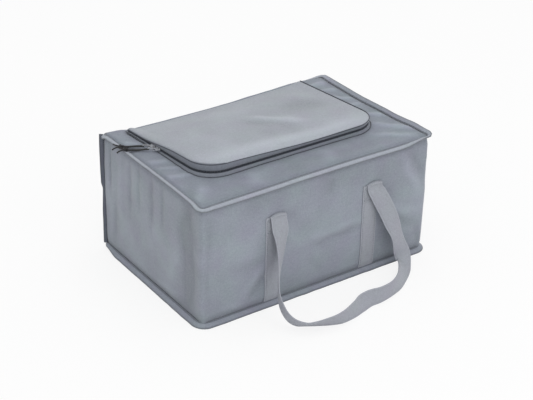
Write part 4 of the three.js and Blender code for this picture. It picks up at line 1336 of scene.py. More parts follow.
class BAG_OT_lid(bpy.types.Operator):
    """Covers the lid's foam with cloth that runs back to the hinge seam"""
    bl_idname = "bag.lid"
    bl_label = "Lid"

    def execute(self, context):
        sizes = context.scene.bag_sizes
        growth = sizes.lid_overhang
        front = lid_front() - growth
        end = HINGE.y - 0.3 * MM
        rows = 96
        row_y = lid_rows(growth, end, 20, rows)
        heights = []

        def place(across, up):
            y = row_y(up)
            wide = 2 * across - 1
            crowded = math.sin(wide * math.pi / 2) * 0.35 + wide * 0.65
            straight_x = crowded * lid_half_width(y, growth)
            x = straight_x - lean_at(y)
            inside = max(0.0, lid_edge_distance(straight_x, y, growth))
            relief = self.relief(x / MM, y / MM)
            relief *= smooth_step(0, 14 * MM, inside) * smooth_step(-2 * MM, 20 * MM, zip_end() - y)
            # Painted highlight along the lid's front edge, and slightly darker paint behind it.
            front_highlight = 1.6 * (1 - smooth_step(8 * MM, 60 * MM, y - front)) - 0.3
            heights.append((relief + front_highlight) * MM)
            z = lid_surface(y) + self.crown(x, y, inside) + relief * MM + lid_rise(x, y)
            if inside < LID_ROLL:
                z -= 0.7 * (LID_ROLL - math.sqrt(max(0.0, LID_ROLL ** 2 - (LID_ROLL - inside) ** 2)))
            z -= lid_sag(x, y, inside)
            if y > zip_end():
                z -= smooth_step(zip_end() - 2 * MM, HINGE.y, y) * (lid_surface(y) - TOP - 1.2 * MM)
            return Vector((x, y, z))

        piece = laid_cloth("lid_cloth", 150, rows, (sizes.lid_width, end - front), place)
        map_from_above(piece)
        # Painted shade in the lid's fold hollows, painted light on their crests and along its front edge.
        store_fold_shade(piece, heights, -2.6 * MM, 2.6 * MM)
        thickened(piece, sizes.cloth, "lid_cloth")
        piece = joined([piece, self.edge_roll(sizes)], "lid_cover")
        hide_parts("lid_panel")
        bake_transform(piece)
        return {"FINISHED"}

    def relief(self, px, py):
        """The lid's folds, in millimetres, at a place in millimetres."""
        relief = sum(fold(px, py, *row) for row in LID_FOLDS)
        relief += 0.7 * ripple(px, py, 80, 61.0) + 0.35 * ripple(px, py, 34, 64.0)
        return relief + 0.35 * crumple(px, py, 64, 67.0)

    def crown(self, x, y, inside):
        """How far the lid swells over its foam, less at its raised corner."""
        crown = smooth_step(0, 70 * MM, inside) * 0.75 + 0.25 * smooth_step(0, 16 * MM, inside)
        back = smooth_step(0, 60 * MM, zip_end() - y)
        return LID_CROWN * crown * back * (1 - 0.45 * lid_rise(x, y) / LID_CORNER_RISE)

    def edge_roll(self, sizes):
        """The dark turned edge where the zip's upper tape meets the lid, partly a real hem and partly a
        painted shadow line under the lid's edge; it shows most on the right.
        """
        track = zip_track(sizes.lid_overhang)
        radius = 0.9 * MM

        def place(across, up):
            point, normal = track.at_share(across)
            angle = 2 * math.pi * up
            right = smooth_step(0.5, 0.75, across)
            flat = point + normal * (radius * math.cos(angle) - 0.6 * MM + 1.5 * MM * right)
            z = lid_surface(point.y) - 3.6 * MM + 2.6 * MM * right + lid_rise(point.x, point.y)
            return raised(flat, z + 1.2 * radius * math.sin(angle))

        return dark_roll("lid_edge", 300, (track.length, 2 * math.pi * radius), place)


def dark_roll(name, columns, flat, place):
    """A thin dark roll of turned cloth beside the zip, partly the hem's own darker colour and partly a
    painted shadow line along it.
    """
    roll = laid_cloth(name, columns, 8, flat, place)
    close_seams(roll)
    cap_ends(roll)
    return painted(roll, "zip_hem")


# How far each tape reaches over the teeth.
TEETH_OVERLAP = 0.2 * MM
# How far the foot of the zip's lower tape is drawn out from the zip's line, in millimetres,
# by the share of the way round from the lid's back left end.
FOOT_REACH = (
    (0, 2.2), (0.12, 2.6), (0.24, 4.6), (0.34, 3.6), (0.42, 2.0), (0.62, 1.8), (0.78, 5.4), (0.9, 7.2),
    (1, 6),
)


class BAG_OT_zip(bpy.types.Operator):
    """Stands the zip's two tapes between the border and the lid and sews them down"""
    bl_idname = "bag.zip"
    bl_label = "Zip tapes"

    def execute(self, context):
        sizes = context.scene.bag_sizes
        track = zip_track()
        self.lower_tape(sizes, track)
        self.upper_tape(sizes, track)
        return {"FINISHED"}

    def lower_tape(self, sizes, track):
        def foot_at(share, point, normal):
            flat = point + normal * (from_table(FOOT_REACH, share) * MM)
            return flat, TOP + border_relief(flat.x, flat.y)

        def place(across, up):
            point, normal = track.at_share(across)
            foot, low = foot_at(across, point, normal)
            high = TOP + band_height(point.y) / 2 - sizes.teeth_height / 2 + TEETH_OVERLAP
            flat = foot.lerp(point, up ** 0.8) + normal * (0.7 * MM * math.sin(math.pi * up))
            return raised(flat, low + (high - low) * up)

        def hem(across, up):
            point, normal = track.at_share(across)
            foot, low = foot_at(across, point, normal)
            angle = 2 * math.pi * up
            flat = foot + normal * (0.5 * MM + 1.0 * MM * math.cos(angle))
            return raised(flat, low + 0.5 * MM + 0.8 * MM * math.sin(angle))

        tape = laid_cloth("zip_lower", 300, 10, (track.length, 8 * MM), place)
        thickened(tape, sizes.tape, "zip_tape")
        roll = dark_roll("zip_foot", 260, (track.length, 6 * MM), hem)
        dressed(joined([tape, roll], "zip_lower_band"), "top", "zip_tape_lower")

    def upper_tape(self, sizes, track):
        def place(across, up):
            point, normal = track.at_share(across)
            low = TOP + band_height(point.y) / 2 + sizes.teeth_height / 2 - TEETH_OVERLAP
            high = lid_surface(point.y) - 1.9 * MM + lid_rise(point.x, point.y)
            flat = point + normal * (0.8 * MM * math.sin(math.pi * up) + 0.5 * MM * up)
            return raised(flat, low + (high - low) * up)

        tape = laid_cloth("zip_upper_band", 300, 8, (track.length, 7 * MM), place)
        thickened(tape, sizes.tape, "zip_tape")
        dressed(tape, "lid", "zip_tape_upper")


class BAG_OT_metal_and_teeth(bpy.types.Operator):
    """Finishes the zip's teeth, sliders and tabs and the base board in their own shapes"""
    bl_idname = "bag.metal_and_teeth"
    bl_label = "Teeth, sliders and board"

    def execute(self, context):
        looks = {
            "zip_teeth_lower": "zip_teeth", "zip_teeth_upper": "zip_teeth",
            "slider_front": "zip_metal", "slider_rear": "zip_metal",
            "pull_tab_front": "zip_metal", "pull_tab_rear": "zip_metal",
            "base_board": "stiffener",
        }
        for node, look in looks.items():
            painted(frame["nodes"][node], look)
        return {"FINISHED"}


def tube_along(name, points, radius_at, sides, look):
    """A round tube along a row of points, closed at both ends."""
    ways = []
    for i in range(len(points)):
        before = points[max(0, i - 1)]
        after = points[min(len(points) - 1, i + 1)]
        ways.append((after - before).normalized())
    side = ways[0].cross(UP if abs(ways[0].z) < 0.9 else Vector((1, 0, 0))).normalized()
    frames = []
    for way in ways:
        side = (side - way * side.dot(way)).normalized()
        frames.append((side, way.cross(side)))
    steps = len(points) - 1

    def place(across, up):
        i = round(across * steps)
        angle = -2 * math.pi * up
        first, second = frames[i]
        return points[i] + (first * math.cos(angle) + second * math.sin(angle)) * radius_at(i / steps)

    flat = (marks_along(points)[-1], 2 * math.pi * radius_at(0.5))
    tube = laid_cloth(name, steps, sides, flat, place)
    close_seams(tube, 0.001 * MM)
    cap_ends(tube)
    return painted(tube, look)


# The route of a pull's doubled cord, in millimetres from the tab's pivot: along the tab, sideways and up.
# Sideways is turned about for the rear pull. It starts in the tab's eye.
EYE_PLACE = 13.4
CORD_ROUTE = (
    (13.4, 0, 0), (16.3, 0, 0), (19, 0, 0), (25, 0.8, -0.6), (32, 1.4, -1.3), (40, 0.9, -1.7),
    (48.5, 0.3, -1.7),
)
# The route of one of its two tails, from the knot.
TAIL_ROUTE = ((1.5, 0.6, 0.2), (5, 2.2, 0.4), (8.5, 4.4, 0.2), (11.5, 7.0, -0.3), (13.5, 9.6, -0.9))
KNOT_PLACE = 50.8
PULL_ANGLE = math.radians(145)


class BAG_OT_pulls(bpy.types.Operator):
    """Ties a doubled cord with a knot and two tails to each slider's tab"""
    bl_idname = "bag.pulls"
    bl_label = "Pull cords"

    def execute(self, context):
        sizes = context.scene.bag_sizes
        for name, side in (("front", 1), ("rear", -1)):
            pivot = Vector(JOINTS[name + "_pull_swing"]["pos_m"])
            along = Vector((math.cos(PULL_ANGLE), math.sin(PULL_ANGLE), 0))
            sideways = Vector((-math.sin(PULL_ANGLE), math.cos(PULL_ANGLE), 0))

            def world(x, y, z):
                return pivot + (along * x + sideways * y * side + UP * z) * MM

            knot = self.knot(name, world, sizes)
            body = name + "_pull"
            dressed(knot, body, "pull_knot_" + name)
            for strand, shift in (("upper", 1.2), ("lower", -1.2)):
                cord = self.strand(name, strand, world, shift, sizes)
                dressed(cord, body, "pull_cord_" + name)
        return {"FINISHED"}

    def strand(self, name, strand, world, shift, sizes):
        rows = []
        for x, y, z in CORD_ROUTE:
            spread = shift * min(1.0, max(0.0, (x - EYE_PLACE) / 4))
            twist = 0.25 * math.sin((x - EYE_PLACE) / 5.0)
            rows.append(list(world(x, y + spread * math.cos(twist), z + spread * math.sin(twist) * 0.6)))
        even, length = smooth_run(rows, 24)
        curve = bpy.data.curves.new(f"pull_cord_{name}_{strand}", "CURVE")
        curve.dimensions = "3D"
        spline = curve.splines.new("POLY")
        spline.points.add(len(even) - 1)
        for point, place in zip(spline.points, even):
            point.co = (*place, 1.0)
        curve.bevel_depth = sizes.strand / 2
        curve.bevel_resolution = 3
        curve.use_fill_caps = True
        cord = bpy.data.objects.new(curve.name, curve)
        bpy.context.scene.collection.objects.link(cord)
        curve.materials.append(finish("pull_cord"))
        cord["length"] = round(length, 4)
        return cord

    def knot(self, name, world, sizes):
        """An overhand knot drawn tight, with two short tails."""
        turns = 60
        rows = []
        for step in range(turns):
            angle = 2 * math.pi * step / (turns - 1) * 0.94 + 0.2
            x = math.sin(angle) + 2 * math.sin(2 * angle)
            y = math.cos(angle) - 2 * math.cos(2 * angle)
            z = -math.sin(3 * angle)
            rows.append(world(KNOT_PLACE + 1.25 * x, 1.15 * y, -1.2 + 1.5 * z))
        radius = sizes.strand / 2 * 1.02

        def frayed(share):
            return radius * (1 + 0.25 * max(0, share - 0.8) * 5)

        pieces = [tube_along("knot", rows, lambda share: radius, 10, "pull_cord")]
        for splay in (-1, 1):
            tail = [list(world(KNOT_PLACE + x, splay * y, -1.7 + z)) for x, y, z in TAIL_ROUTE]
            points = [Vector(p) for p in smooth_run(tail, 16)[0]]
            pieces.append(tube_along("tail", points, frayed, 10, "pull_cord"))
        return joined(pieces, f"pull_knot_{name}_tied")


# The webbing: two straps sewn up each wall, the tacks at their tops, and the two loops

TURNED_SHIFT = 7 * MM
WEBBING_GAP = 0.15 * MM
STITCH_INSET = 2.2 * MM


def webbing_strip(name, rows, columns, flat, place):
    """Webbing laid by place(across, up), rounded at its edges, with a painted highlight along its selvedges
    and painted shade just inside them.
    """
    selvedge_light = []

    def lay(across, up):
        edge = abs(2 * up - 1)
        # Painted highlight on the selvedges, painted shade just inside them.
        selvedge_light.append(0.9 * smooth_step(0.84, 0.98, edge) - 0.25 * smooth_step(0.6, 0.8, edge))
        return place(across, up)

    strip = laid_cloth(name, rows, columns, flat, lay)
    keep_painted_light(strip, selvedge_light)
    thickness = bpy.context.scene.bag_sizes.webbing
    finish_with(strip, "SOLIDIFY", thickness=thickness, offset=0, use_even_offset=True)
    finish_with(strip, "BEVEL", width=0.45 * MM, segments=2, limit_method="ANGLE", angle_limit=EDGE_ANGLE)
    close_seams(strip)
    return painted(strip, "webbing")


def wall_place(face, x, z, out):
    """A point on the front or the back wall's cloth, lifted off it."""
    wall = front_relief(x, z) if face < 0 else back_relief(x, z)
    return Vector((x, face * (body_corners()[1] + wall + out), z))


def sewn_strip(name, face, low, high, top, rows):
    """A strip of webbing lying on a wall, between the sides and above the foot of a box, up to a height."""
    sizes = bpy.context.scene.bag_sizes

    def place(across, up):
        x = low.x + (high.x - low.x) * up
        z = low.z + (top - low.z) * across
        out = WEBBING_GAP + sizes.webbing / 2 + 0.12 * MM * ripple(x / MM, z / MM, 14, 71.0)
        spot = wall_place(face, x, z, out)
        spot.x += 0.35 * MM * ripple(z / MM, low.x / MM, 30, 73.0)
        return spot

    return webbing_strip(name, rows, 10, (top - low.z, high.x - low.x), place)


def wall_stitches(name, face, start, end, steps):
    """Stitches through webbing on a wall, from one (x, z) to another."""
    sizes = bpy.context.scene.bag_sizes
    route = []
    for step in range(steps + 1):
        x, z = Vector(start).lerp(Vector(end), step / steps)
        route.append(wall_place(face, x, z, sizes.webbing + WEBBING_GAP))
    return painted(seam_of_stitches(name, route, lambda p: Vector((0, face, 0)), sizes), "thread")


class BAG_OT_straps(bpy.types.Operator):
    """Sews two straps of webbing up the front and the back wall, and tacks the handles on at their tops"""
    bl_idname = "bag.straps"
    bl_label = "Sewn straps"

    def execute(self, context):
        sizes = context.scene.bag_sizes
        for wall, face in (("front", -1), ("back", 1)):
            for side in ("left", "right"):
                self.strap(f"{wall}_strap_{side}", face)
                self.tack(sizes, f"{wall}_tack_{side}", wall, face)
        return {"FINISHED"}

    def strap(self, node, face):
        low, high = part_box(node)
        pieces = [sewn_strip(node + "_webbing", face, low, high, high.z + 0.3 * MM, 60)]
        for x in (low.x + STITCH_INSET, high.x - STITCH_INSET):
            pieces.append(wall_stitches("strap_stitches", face, (x, low.z), (x, high.z), 60))
        piece = joined(pieces, node + "_webbing")
        dressed(piece, "shell", node)
        folding(piece)

    def tack(self, sizes, node, wall, face):
        low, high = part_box(node)
        top = high.z - sizes.webbing / 2
        strip = sewn_strip(node + "_webbing", face, low, high, top, 14)
        pieces = [strip, self.turned_top(wall, face, low, high)]
        x0 = low.x + STITCH_INSET
        x1 = high.x - STITCH_INSET
        z0 = low.z + STITCH_INSET
        z1 = top - 2 * STITCH_INSET
        corners = ((x0, z0), (x1, z0), (x1, z1), (x0, z1), (x0, z0), (x1, z1), (x1, z0), (x0, z1))
        for start, end in zip(corners, corners[1:]):
            pieces.append(wall_stitches("tack_stitches", face, start, end, 12))
        piece = joined(pieces, node + "_sewn")
        dressed(piece, wall + "_anchor", node)

    def turned_top(self, wall, face, low, high):
        """The loop's webbing where it comes up behind its own fold and turns over the top."""
        hinge = Vector(JOINTS[wall + "_handle_hinge"]["pos_m"])
        radius = 2.7 * MM
        arch = 3.2 * MM
        middle = hinge.y + face * 1.3 * MM
        straight = 12 * MM
        total = straight + math.radians(200) * radius

        def place(across, up):
            run = across * total
            angle = max(0.0, run - straight) / radius
            rise = arch * (math.sin(math.pi * up) - 0.75) * smooth_step(0, straight, run)
            z = hinge.z - max(0.0, straight - run) + radius * math.sin(angle) + rise
            x = low.x + TURNED_SHIFT + (high.x - low.x) * up
            return Vector((x, middle - face * radius * math.cos(angle), z))

        return webbing_strip("turned_top", 34, 10, (total, high.x - low.x), place)


# The loops, in millimetres: the middle of the webbing, and the way its width points.
FRONT_LOOP = (
    (-84.5, -155, 164.6, 1, 0, 0), (-84.5, -157.6, 157, 1, 0, 0), (-84, -161, 143, 1, -0.05, 0),
    (-85.5, -166, 126, 0.94, 0.32, -0.16), (-88, -170, 108, 0.8, 0.5, -0.34),
    (-92.5, -175, 91, 0.65, 0.6, -0.46), (-98, -181, 74, 0.5, 0.61, -0.61),
    (-105, -190, 58, 0.36, 0.54, -0.76), (-111, -201, 43, 0.26, 0.47, -0.84),
    (-113, -214, 30, 0.24, 0.46, -0.85), (-111, -228, 20, 0.3, 0.4, -0.87),
    (-104, -240, 14.5, 0.4, 0.45, -0.8), (-91, -249, 12, 0.43, 0.6, -0.68),
    (-77, -256, 12.5, 0.34, 0.6, -0.73), (-61, -262, 13.5, 0.24, 0.51, -0.83),
    (-46, -266, 14.5, 0.14, 0.4, -0.91), (-29, -267, 15.4, 0.02, 0.17, -0.98),
    (-2, -260, 15.5, 0, -0.15, -0.98), (22, -250, 14.5, 0.03, -0.4, -0.9),
    (40, -247, 15, 0.03, -0.25, -0.95), (60, -249, 15.6, 0, -0.08, -1), (86, -245, 15.8, 0, -0.02, -1),
    (112, -233, 15.6, 0.12, -0.2, -0.97), (134, -215, 15, 0.3, -0.38, -0.86),
    (150, -199, 13.6, 0.5, -0.46, -0.7), (160, -187, 13.5, 0.65, -0.45, -0.58),
    (162, -179, 24, 0.86, -0.3, -0.3), (156.5, -176.5, 41, 0.95, 0.1, 0.04),
    (151.5, -176.5, 57, 0.92, 0.3, 0.14), (146, -176, 74, 0.92, 0.28, 0.24), (138, -174, 93, 0.93, 0, 0.33),
    (131, -170, 112, 0.9, -0.12, 0.36), (123, -166, 130, 0.88, -0.22, 0.34),
    (116, -161.4, 146, 0.94, -0.14, 0.2), (110.8, -157.6, 157, 1, -0.02, 0.04),
    (110.5, -155, 164.6, 1, 0, 0),
)
BACK_LOOP = (
    (-84.5, 155, 164.6, 1, 0, 0), (-84.5, 157.6, 157, 1, 0, 0), (-86, 162, 141, 1, 0, 0),
    (-90, 167, 124, 1, 0, 0.05), (-94, 169.5, 96, 1, 0, 0.15), (-100, 171.5, 69, 0.95, 0, 0.25),
    (-104, 174.6, 45, 0.85, -0.1, 0.4), (-98, 180, 26, 0.5, -0.2, 0.8), (-79, 186, 16, 0.1, -0.3, 0.95),
    (-45, 192.4, 15.6, 0, -0.3, 0.95), (-6, 195.6, 15.6, 0, -0.25, 0.97), (33, 195.4, 15.6, 0, -0.3, 0.95),
    (72, 192.4, 15.6, 0, -0.3, 0.95), (106, 186, 16, -0.1, -0.3, 0.95), (124, 180, 26, -0.5, -0.2, 0.8),
    (130, 174.6, 45, -0.85, -0.1, 0.4), (126, 171.5, 69, -0.95, 0, 0.25), (119, 169.5, 96, -1, 0, 0.15),
    (114, 167, 124, -1, 0, 0.05), (111.5, 162, 141, -1, 0, 0), (110.5, 157.6, 157, -1, 0, 0),
    (110.5, 155, 164.6, -1, 0, 0),
)


class BAG_OT_handles(bpy.types.Operator):
    """Lays the two loops of webbing, one in front of the bag and one behind it"""
    bl_idname = "bag.handles"
    bl_label = "Handle loops"

    def execute(self, context):
        self.loop(context.scene.bag_sizes, "front", FRONT_LOOP)
        self.loop(context.scene.bag_sizes, "back", BACK_LOOP)
        return {"FINISHED"}

    def loop(self, sizes, wall, rows):
        steps = 210
        even, length = smooth_run([list(row) for row in rows], steps)
        frames = []
        for i, row in enumerate(even):
            before = Vector(even[max(0, i - 1)][:3])
            after = Vector(even[min(steps, i + 1)][:3])
            way = (after - before).normalized()
            width = Vector(row[3:])
            width = (width - way * width.dot(way)).normalized()
            frames.append((Vector(row[:3]) * MM, width, way.cross(width)))

        def place(across, up):
            i = round(across * steps)
            middle, width, through = frames[i]
            cup = 0.5 * MM * (4 * (up - 0.5) ** 2) * (1 + 0.5 * ripple(i, 3.0, 30, 81.0))
            waver = 0.3 * MM * ripple(i, up * 12, 12, 83.0)
            point = middle + width * ((up - 0.5) * sizes.webbing_width) + through * (cup + waver)
            point.z = max(point.z, sizes.webbing * 0.6)
            return point

        flat = (length * MM, sizes.webbing_width)
        piece = webbing_strip(f"{wall}_handle_webbing", steps, 12, flat, place)
        dressed(piece, wall + "_handle", wall + "_handle_loop")
        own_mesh(piece)


# The base, the foam and the silvered lining

FILM = 0.5 * MM
LINING_RADIUS = 6 * MM


def cut_sheet(name, low, high, thickness, relief, look, columns=60, rows=44, radius=0.0, curl=0.0):
    """A flat sheet that fills a box seen from above, gently uneven, with its upper face at the box's top.

    Its edge can curl up by a height.
    """
    half = Vector(((high.x - low.x) / 2, (high.y - low.y) / 2))
    middle = Vector(((high.x + low.x) / 2, (high.y + low.y) / 2))

    def place(across, up):
        x = (2 * across - 1) * half.x
        y = (2 * up - 1) * half.y
        if radius and half.x - abs(x) < radius and half.y - abs(y) < radius:
            dx = abs(x) - (half.x - radius)
            dy = abs(y) - (half.y - radius)
            longest = max(dx, dy)
            shrink = longest / max(1e-9, math.hypot(dx, dy))
            x = math.copysign(half.x - radius + dx * shrink, x)
            y = math.copysign(half.y - radius + dy * shrink, y)
        inside = min(half.x - abs(x), half.y - abs(y))
        lift = relief * MM * ripple(x / MM, y / MM, 45, 91.0) + curl * (1 - smooth_step(0, 9 * MM, inside))
        return Vector((middle.x + x, middle.y + y, high.z + lift - abs(relief) * MM))

    sheet = laid_cloth(name, columns, rows, (2 * half.x, 2 * half.y), place)
    return thickened(sheet, thickness, look, 1.2 * MM if thickness > 2 * MM else 0.0)


def box_track(low, high, radius):
    """The line round a box seen from above, from its back left corner."""
    return Track([(low.x, high.y), (low.x, low.y), (high.x, low.y), (high.x, high.y)], [radius] * 4, True)


def standing_foam(node):
    """A foam sheet that stands in a wall, with softened edges and a slightly uneven face."""
    low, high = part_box(node)
    width, depth = high.x - low.x, high.y - low.y
    along_x = width > depth
    length, thickness = max(width, depth), min(width, depth)

    def place(across, up):
        run = length * across
        sag = folding_sag(low.x + run, low.y) if along_x else folding_sag(low.x, low.y + run)
        z = low.z + (high.z - low.z - 2.2 * MM - sag) * up
        dent = 0.25 * MM * (ripple(run / MM, z / MM, 40, 95.0) - 1)
        if along_x:
            return Vector((low.x + run, low.y - dent, z))
        return Vector((high.x + dent, low.y + run, z))

    sheet = laid_cloth(node + "_sheet", 50, 30, (length, high.z - low.z), place)
    return thickened(sheet, thickness - 0.6 * MM, "foam", 1.0 * MM)


class BAG_OT_padding(bpy.types.Operator):
    """Cuts the foam sheets of the walls, the base, the top border and the lid"""
    bl_idname = "bag.padding"
    bl_label = "Foam sheets"

    def execute(self, context):
        sizes = context.scene.bag_sizes
        for node in ("front_foam", "back_foam", "left_foam", "right_foam"):
            piece = standing_foam(node)
            dressed(piece, "shell", node)
            folding(piece)
        low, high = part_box("base_foam")
        piece = cut_sheet("base_foam_sheet", low, high, sizes.foam - 0.4 * MM, 0.2, "foam")
        dressed(piece, "shell", "base_foam")
        self.top_foam(sizes)
        self.lid_foam(sizes)
        return {"FINISHED"}

    def top_foam(self, sizes):
        def drop(share):
            return 0.3 * MM + 1.4 * MM * (1 - smooth_step(0, 0.2, share))

        piece = top_layer("top_foam_sheet", "top_foam", drop, sizes.foam - 0.5 * MM, "foam", 1.0 * MM)
        dressed(piece, "top", "top_foam")

    def lid_foam(self, sizes):
        piece = lid_layer("lid_foam_sheet", -6 * MM, 1.4 * MM, sizes.foam - 0.3 * MM, "foam", 0.2, 1.2 * MM)
        dressed(piece, "lid", "lid_foam")


def top_layer(name, node, drop, thickness, look, bevel=0.0):
    """A sheet under the border, drop(share of the way in) below the top of the box of a node."""
    low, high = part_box(node)

    def place(point, share, normal, rim_point):
        return raised(point, high.z - drop(share) - back_sag(point.x, point.y))

    piece = ring_grid(name, box_track(low, high, 2 * MM), 16, 300, place)
    return thickened(piece, thickness, look, bevel)


def lid_layer(name, growth, depth, thickness, look, relief, bevel=0.0):
    """A sheet inside the lid that follows its outline and its slope."""
    rows = 60
    row_y = lid_rows(growth, zip_end() - 1 * MM, 14, rows)

    def place(across, up):
        y = row_y(up)
        straight_x = (2 * across - 1) * lid_half_width(y, growth)
        x = straight_x - lean_at(y)
        inside = max(0.0, lid_edge_distance(straight_x, y, growth))
        z = TOP + band_height(y) - depth + relief * MM * (ripple(x / MM, y / MM, 30, 97.0) - 1)
        z += 0.9 * lid_rise(x, y) - lid_sag(x, y, inside)
        return Vector((x, y, z))

    return thickened(laid_cloth(name, 80, rows, (0.34, 0.21), place), thickness, look, bevel)


class BAG_OT_lining(bpy.types.Operator):
    """Lines the walls, the base, the top border and the lid with silvered film"""
    bl_idname = "bag.lining"
    bl_label = "Lining"

    def execute(self, context):
        self.wall_lining()
        low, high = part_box("base_lining")
        piece = cut_sheet("base_lining_film", low, high, FILM * 0.6, 0.15, "lining", 120, 80)
        dressed(piece, "shell", "base_lining")
        piece = top_layer("top_lining_film", "top_lining", lambda share: 0.0, FILM, "lining")
        dressed(piece, "top", "top_lining")
        piece = lid_layer("lid_lining_film", -5.4 * MM, 6.0 * MM, FILM, "lining", 0.15)
        dressed(piece, "lid", "lid_lining")
        return {"FINISHED"}

    def wall_lining(self):
        """One sleeve of film round the inside, drawn in a little between its folds."""
        track = box_track(LINING_LOW, LINING_HIGH, LINING_RADIUS)

        def place(across, up):
            point, normal = track.at_share(across)
            z = LINING_LOW.z + (LINING_HIGH.z - LINING_LOW.z - folding_sag(point.x, point.y)) * up
            edge = smooth_step(0, 0.06, up) * smooth_step(0, 0.06, 1 - up)
            px = across * track.length / MM
            crinkle = 0.8 * crumple(px, z / MM, 45, 101.0) + 0.3 * ripple(px, z / MM, 16, 103.0)
            flat = point - normal * (0.1 * MM + edge * max(0.0, crinkle) * MM)
            return raised(flat, z)

        piece = laid_cloth("wall_lining_film", 330, 64, (track.length, LINING_HIGH.z - LINING_LOW.z), place)
        close_seams(piece, outwards=False)
        thickened(piece, FILM * 0.8, "lining")
        dressed(piece, "shell", "wall_lining")
        folding(piece)


class BAG_OT_base(bpy.types.Operator):
    """Lays the base's cloth between the bound seams"""
    bl_idname = "bag.base"
    bl_label = "Base"

    def execute(self, context):
        sizes = context.scene.bag_sizes
        half_length, half_depth = body_corners()
        low = Vector((-half_length - sizes.hem, -half_depth - sizes.hem, 0))
        high = Vector((half_length + sizes.hem, half_depth + sizes.hem, 1.0 * MM))
        curl = FOOT_ROOT - 2.4 * MM
        piece = cut_sheet("base_cloth", low, high, sizes.cloth * 0.9, 0.05, "wall_cloth", 160, 110,
                          sizes.foot_radius, curl)
        dressed(piece, "shell", "base_panel")
        return {"FINISHED"}


# The stage: floor, backdrop, light and the camera

CAMERA_TARGET = Vector((2.11, 0, 94.19)) * MM
CAMERA_AZIMUTH = math.radians(-35.4005)
CAMERA_ELEVATION = math.radians(29.2059)
CAMERA_ROLL = math.radians(1.339)
CAMERA_DISTANCE = 2568 * MM
SENSOR_WIDTH = 36.0
FOCAL_PIXELS = 1498.28
PICTURE_WIDTH = 533.0
# How much of the floor's look is plain white; the rest carries the bag's shadow.
FLOOR_WHITENESS = 0.82
# How strongly the white surroundings light the bag.
WORLD_LIGHT = 0.74
# Each lamp: its name, its place and width in metres, and its power in watts.
LAMPS = (
    ("top_light", (0.2, 0.2, 2.5), 2.4, 11.0),
    ("front_light", (-0.4, -2.5, 1.7), 3.4, 22.0),
)


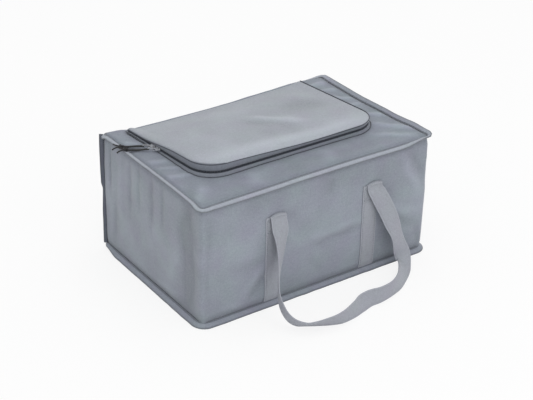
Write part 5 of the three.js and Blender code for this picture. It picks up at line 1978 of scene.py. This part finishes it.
class BAG_OT_stage(bpy.types.Operator):
    """Sets the camera, a pale floor and soft studio light"""
    bl_idname = "bag.stage"
    bl_label = "Stage"

    def execute(self, context):
        self.camera(context)
        self.floor()
        self.sky(context)
        self.lamps()
        context.scene.view_settings.view_transform = "Standard"
        return {"FINISHED"}

    def camera(self, context):
        data = bpy.data.cameras.new("camera")
        data.sensor_width = SENSOR_WIDTH
        data.lens = FOCAL_PIXELS / PICTURE_WIDTH * SENSOR_WIDTH
        data.clip_end = 50
        camera = bpy.data.objects.new("camera", data)
        context.scene.collection.objects.link(camera)
        level = math.cos(CAMERA_ELEVATION)
        back = Vector((
            math.sin(CAMERA_AZIMUTH) * level, -math.cos(CAMERA_AZIMUTH) * level, math.sin(CAMERA_ELEVATION)
        ))
        camera.location = CAMERA_TARGET + back * CAMERA_DISTANCE
        aim = (-back).to_track_quat("-Z", "Y").to_matrix().to_4x4()
        turn = aim @ Matrix.Rotation(CAMERA_ROLL, 4, "Z")
        camera.rotation_euler = turn.to_euler()
        context.scene.camera = camera

    def floor(self):
        deselect_all()
        bpy.ops.mesh.primitive_plane_add(size=12)
        floor = bpy.context.object
        floor.name = floor.data.name = "floor"
        material, w, shader = new_finish("floor_paper", Roughness=0.9, Specular_IOR_Level=0.1)
        place = w.add("ShaderNodeTexCoord").outputs["Object"]
        grain = w.noise(place, 60.0, 3.0)
        colour = (*bpy.context.scene.bag_colours.floor, 1.0)
        value = w.range(grain, 0.0, 1.0, 0.995, 1.005)
        tone = w.add("ShaderNodeHueSaturation", {"Value": value, "Color": colour}).outputs[0]
        w.feed(shader["Base Color"], tone)
        plain = w.add("ShaderNodeEmission", {"Color": (1, 1, 1, 1), "Strength": 1.0}).outputs[0]
        lit = material.node_tree.nodes["Principled BSDF"].outputs[0]
        share = w.sum("MULTIPLY", w.seen(), FLOOR_WHITENESS)
        both = w.add("ShaderNodeMixShader", {0: share, 1: lit, 2: plain}).outputs[0]
        w.feed(material.node_tree.nodes["Material Output"].inputs["Surface"], both)
        floor.data.materials.append(material)

    def sky(self, context):
        world = bpy.data.worlds.new("studio")
        context.scene.world = world
        world.use_nodes = True
        w = Wiring(world.node_tree)
        background = world.node_tree.nodes["Background"]
        w.feed(background.inputs["Strength"], w.range(w.seen(), 0.0, 1.0, WORLD_LIGHT, 1.0))
        background.inputs["Color"].default_value = (1, 1, 1, 1)

    def lamps(self):
        for name, place, size, power in LAMPS:
            data = bpy.data.lights.new(name, "AREA")
            data.shape = "DISK"
            data.size = size
            data.energy = power
            lamp = bpy.data.objects.new(name, data)
            lamp.location = place
            aim = Vector((0, 0, 0.1)) - Vector(place)
            lamp.rotation_euler = aim.to_track_quat("-Z", "Y").to_euler()
            bpy.context.scene.collection.objects.link(lamp)


STEPS = (
    BAG_OT_stage, BAG_OT_pulls, BAG_OT_side_wall, BAG_OT_back_wall, BAG_OT_base, BAG_OT_top_border,
    BAG_OT_top_seam, BAG_OT_bottom_seam, BAG_OT_back_seams, BAG_OT_lid, BAG_OT_zip, BAG_OT_metal_and_teeth,
    BAG_OT_straps, BAG_OT_handles, BAG_OT_padding, BAG_OT_lining,
)


class BAG_PT_panel(bpy.types.Panel):
    """Lists the bag's sizes, colours and pieces"""
    bl_idname = "BAG_PT_panel"
    bl_label = "Insulated bag"
    bl_space_type = "VIEW_3D"
    bl_region_type = "UI"
    bl_category = "Bag"

    def draw(self, context):
        for group in (context.scene.bag_sizes, context.scene.bag_colours):
            box = self.layout.box()
            for name in group.__annotations__:
                box.prop(group, name)
        for step in STEPS:
            self.layout.operator(step.bl_idname)


CLASSES = (BagSizes, BagColours, *STEPS, BAG_PT_panel)


def register():
    for cls in CLASSES:
        bpy.utils.register_class(cls)
    bpy.types.Scene.bag_sizes = bpy.props.PointerProperty(type=BagSizes)
    bpy.types.Scene.bag_colours = bpy.props.PointerProperty(type=BagColours)


def unregister():
    del bpy.types.Scene.bag_colours
    del bpy.types.Scene.bag_sizes
    for cls in reversed(CLASSES):
        bpy.utils.unregister_class(cls)


def main():
    register()
    for step in STEPS:
        _, name = step.bl_idname.split(".")
        getattr(bpy.ops.bag, name)()
    deselect_all()


if __name__ == "__main__":
    main()
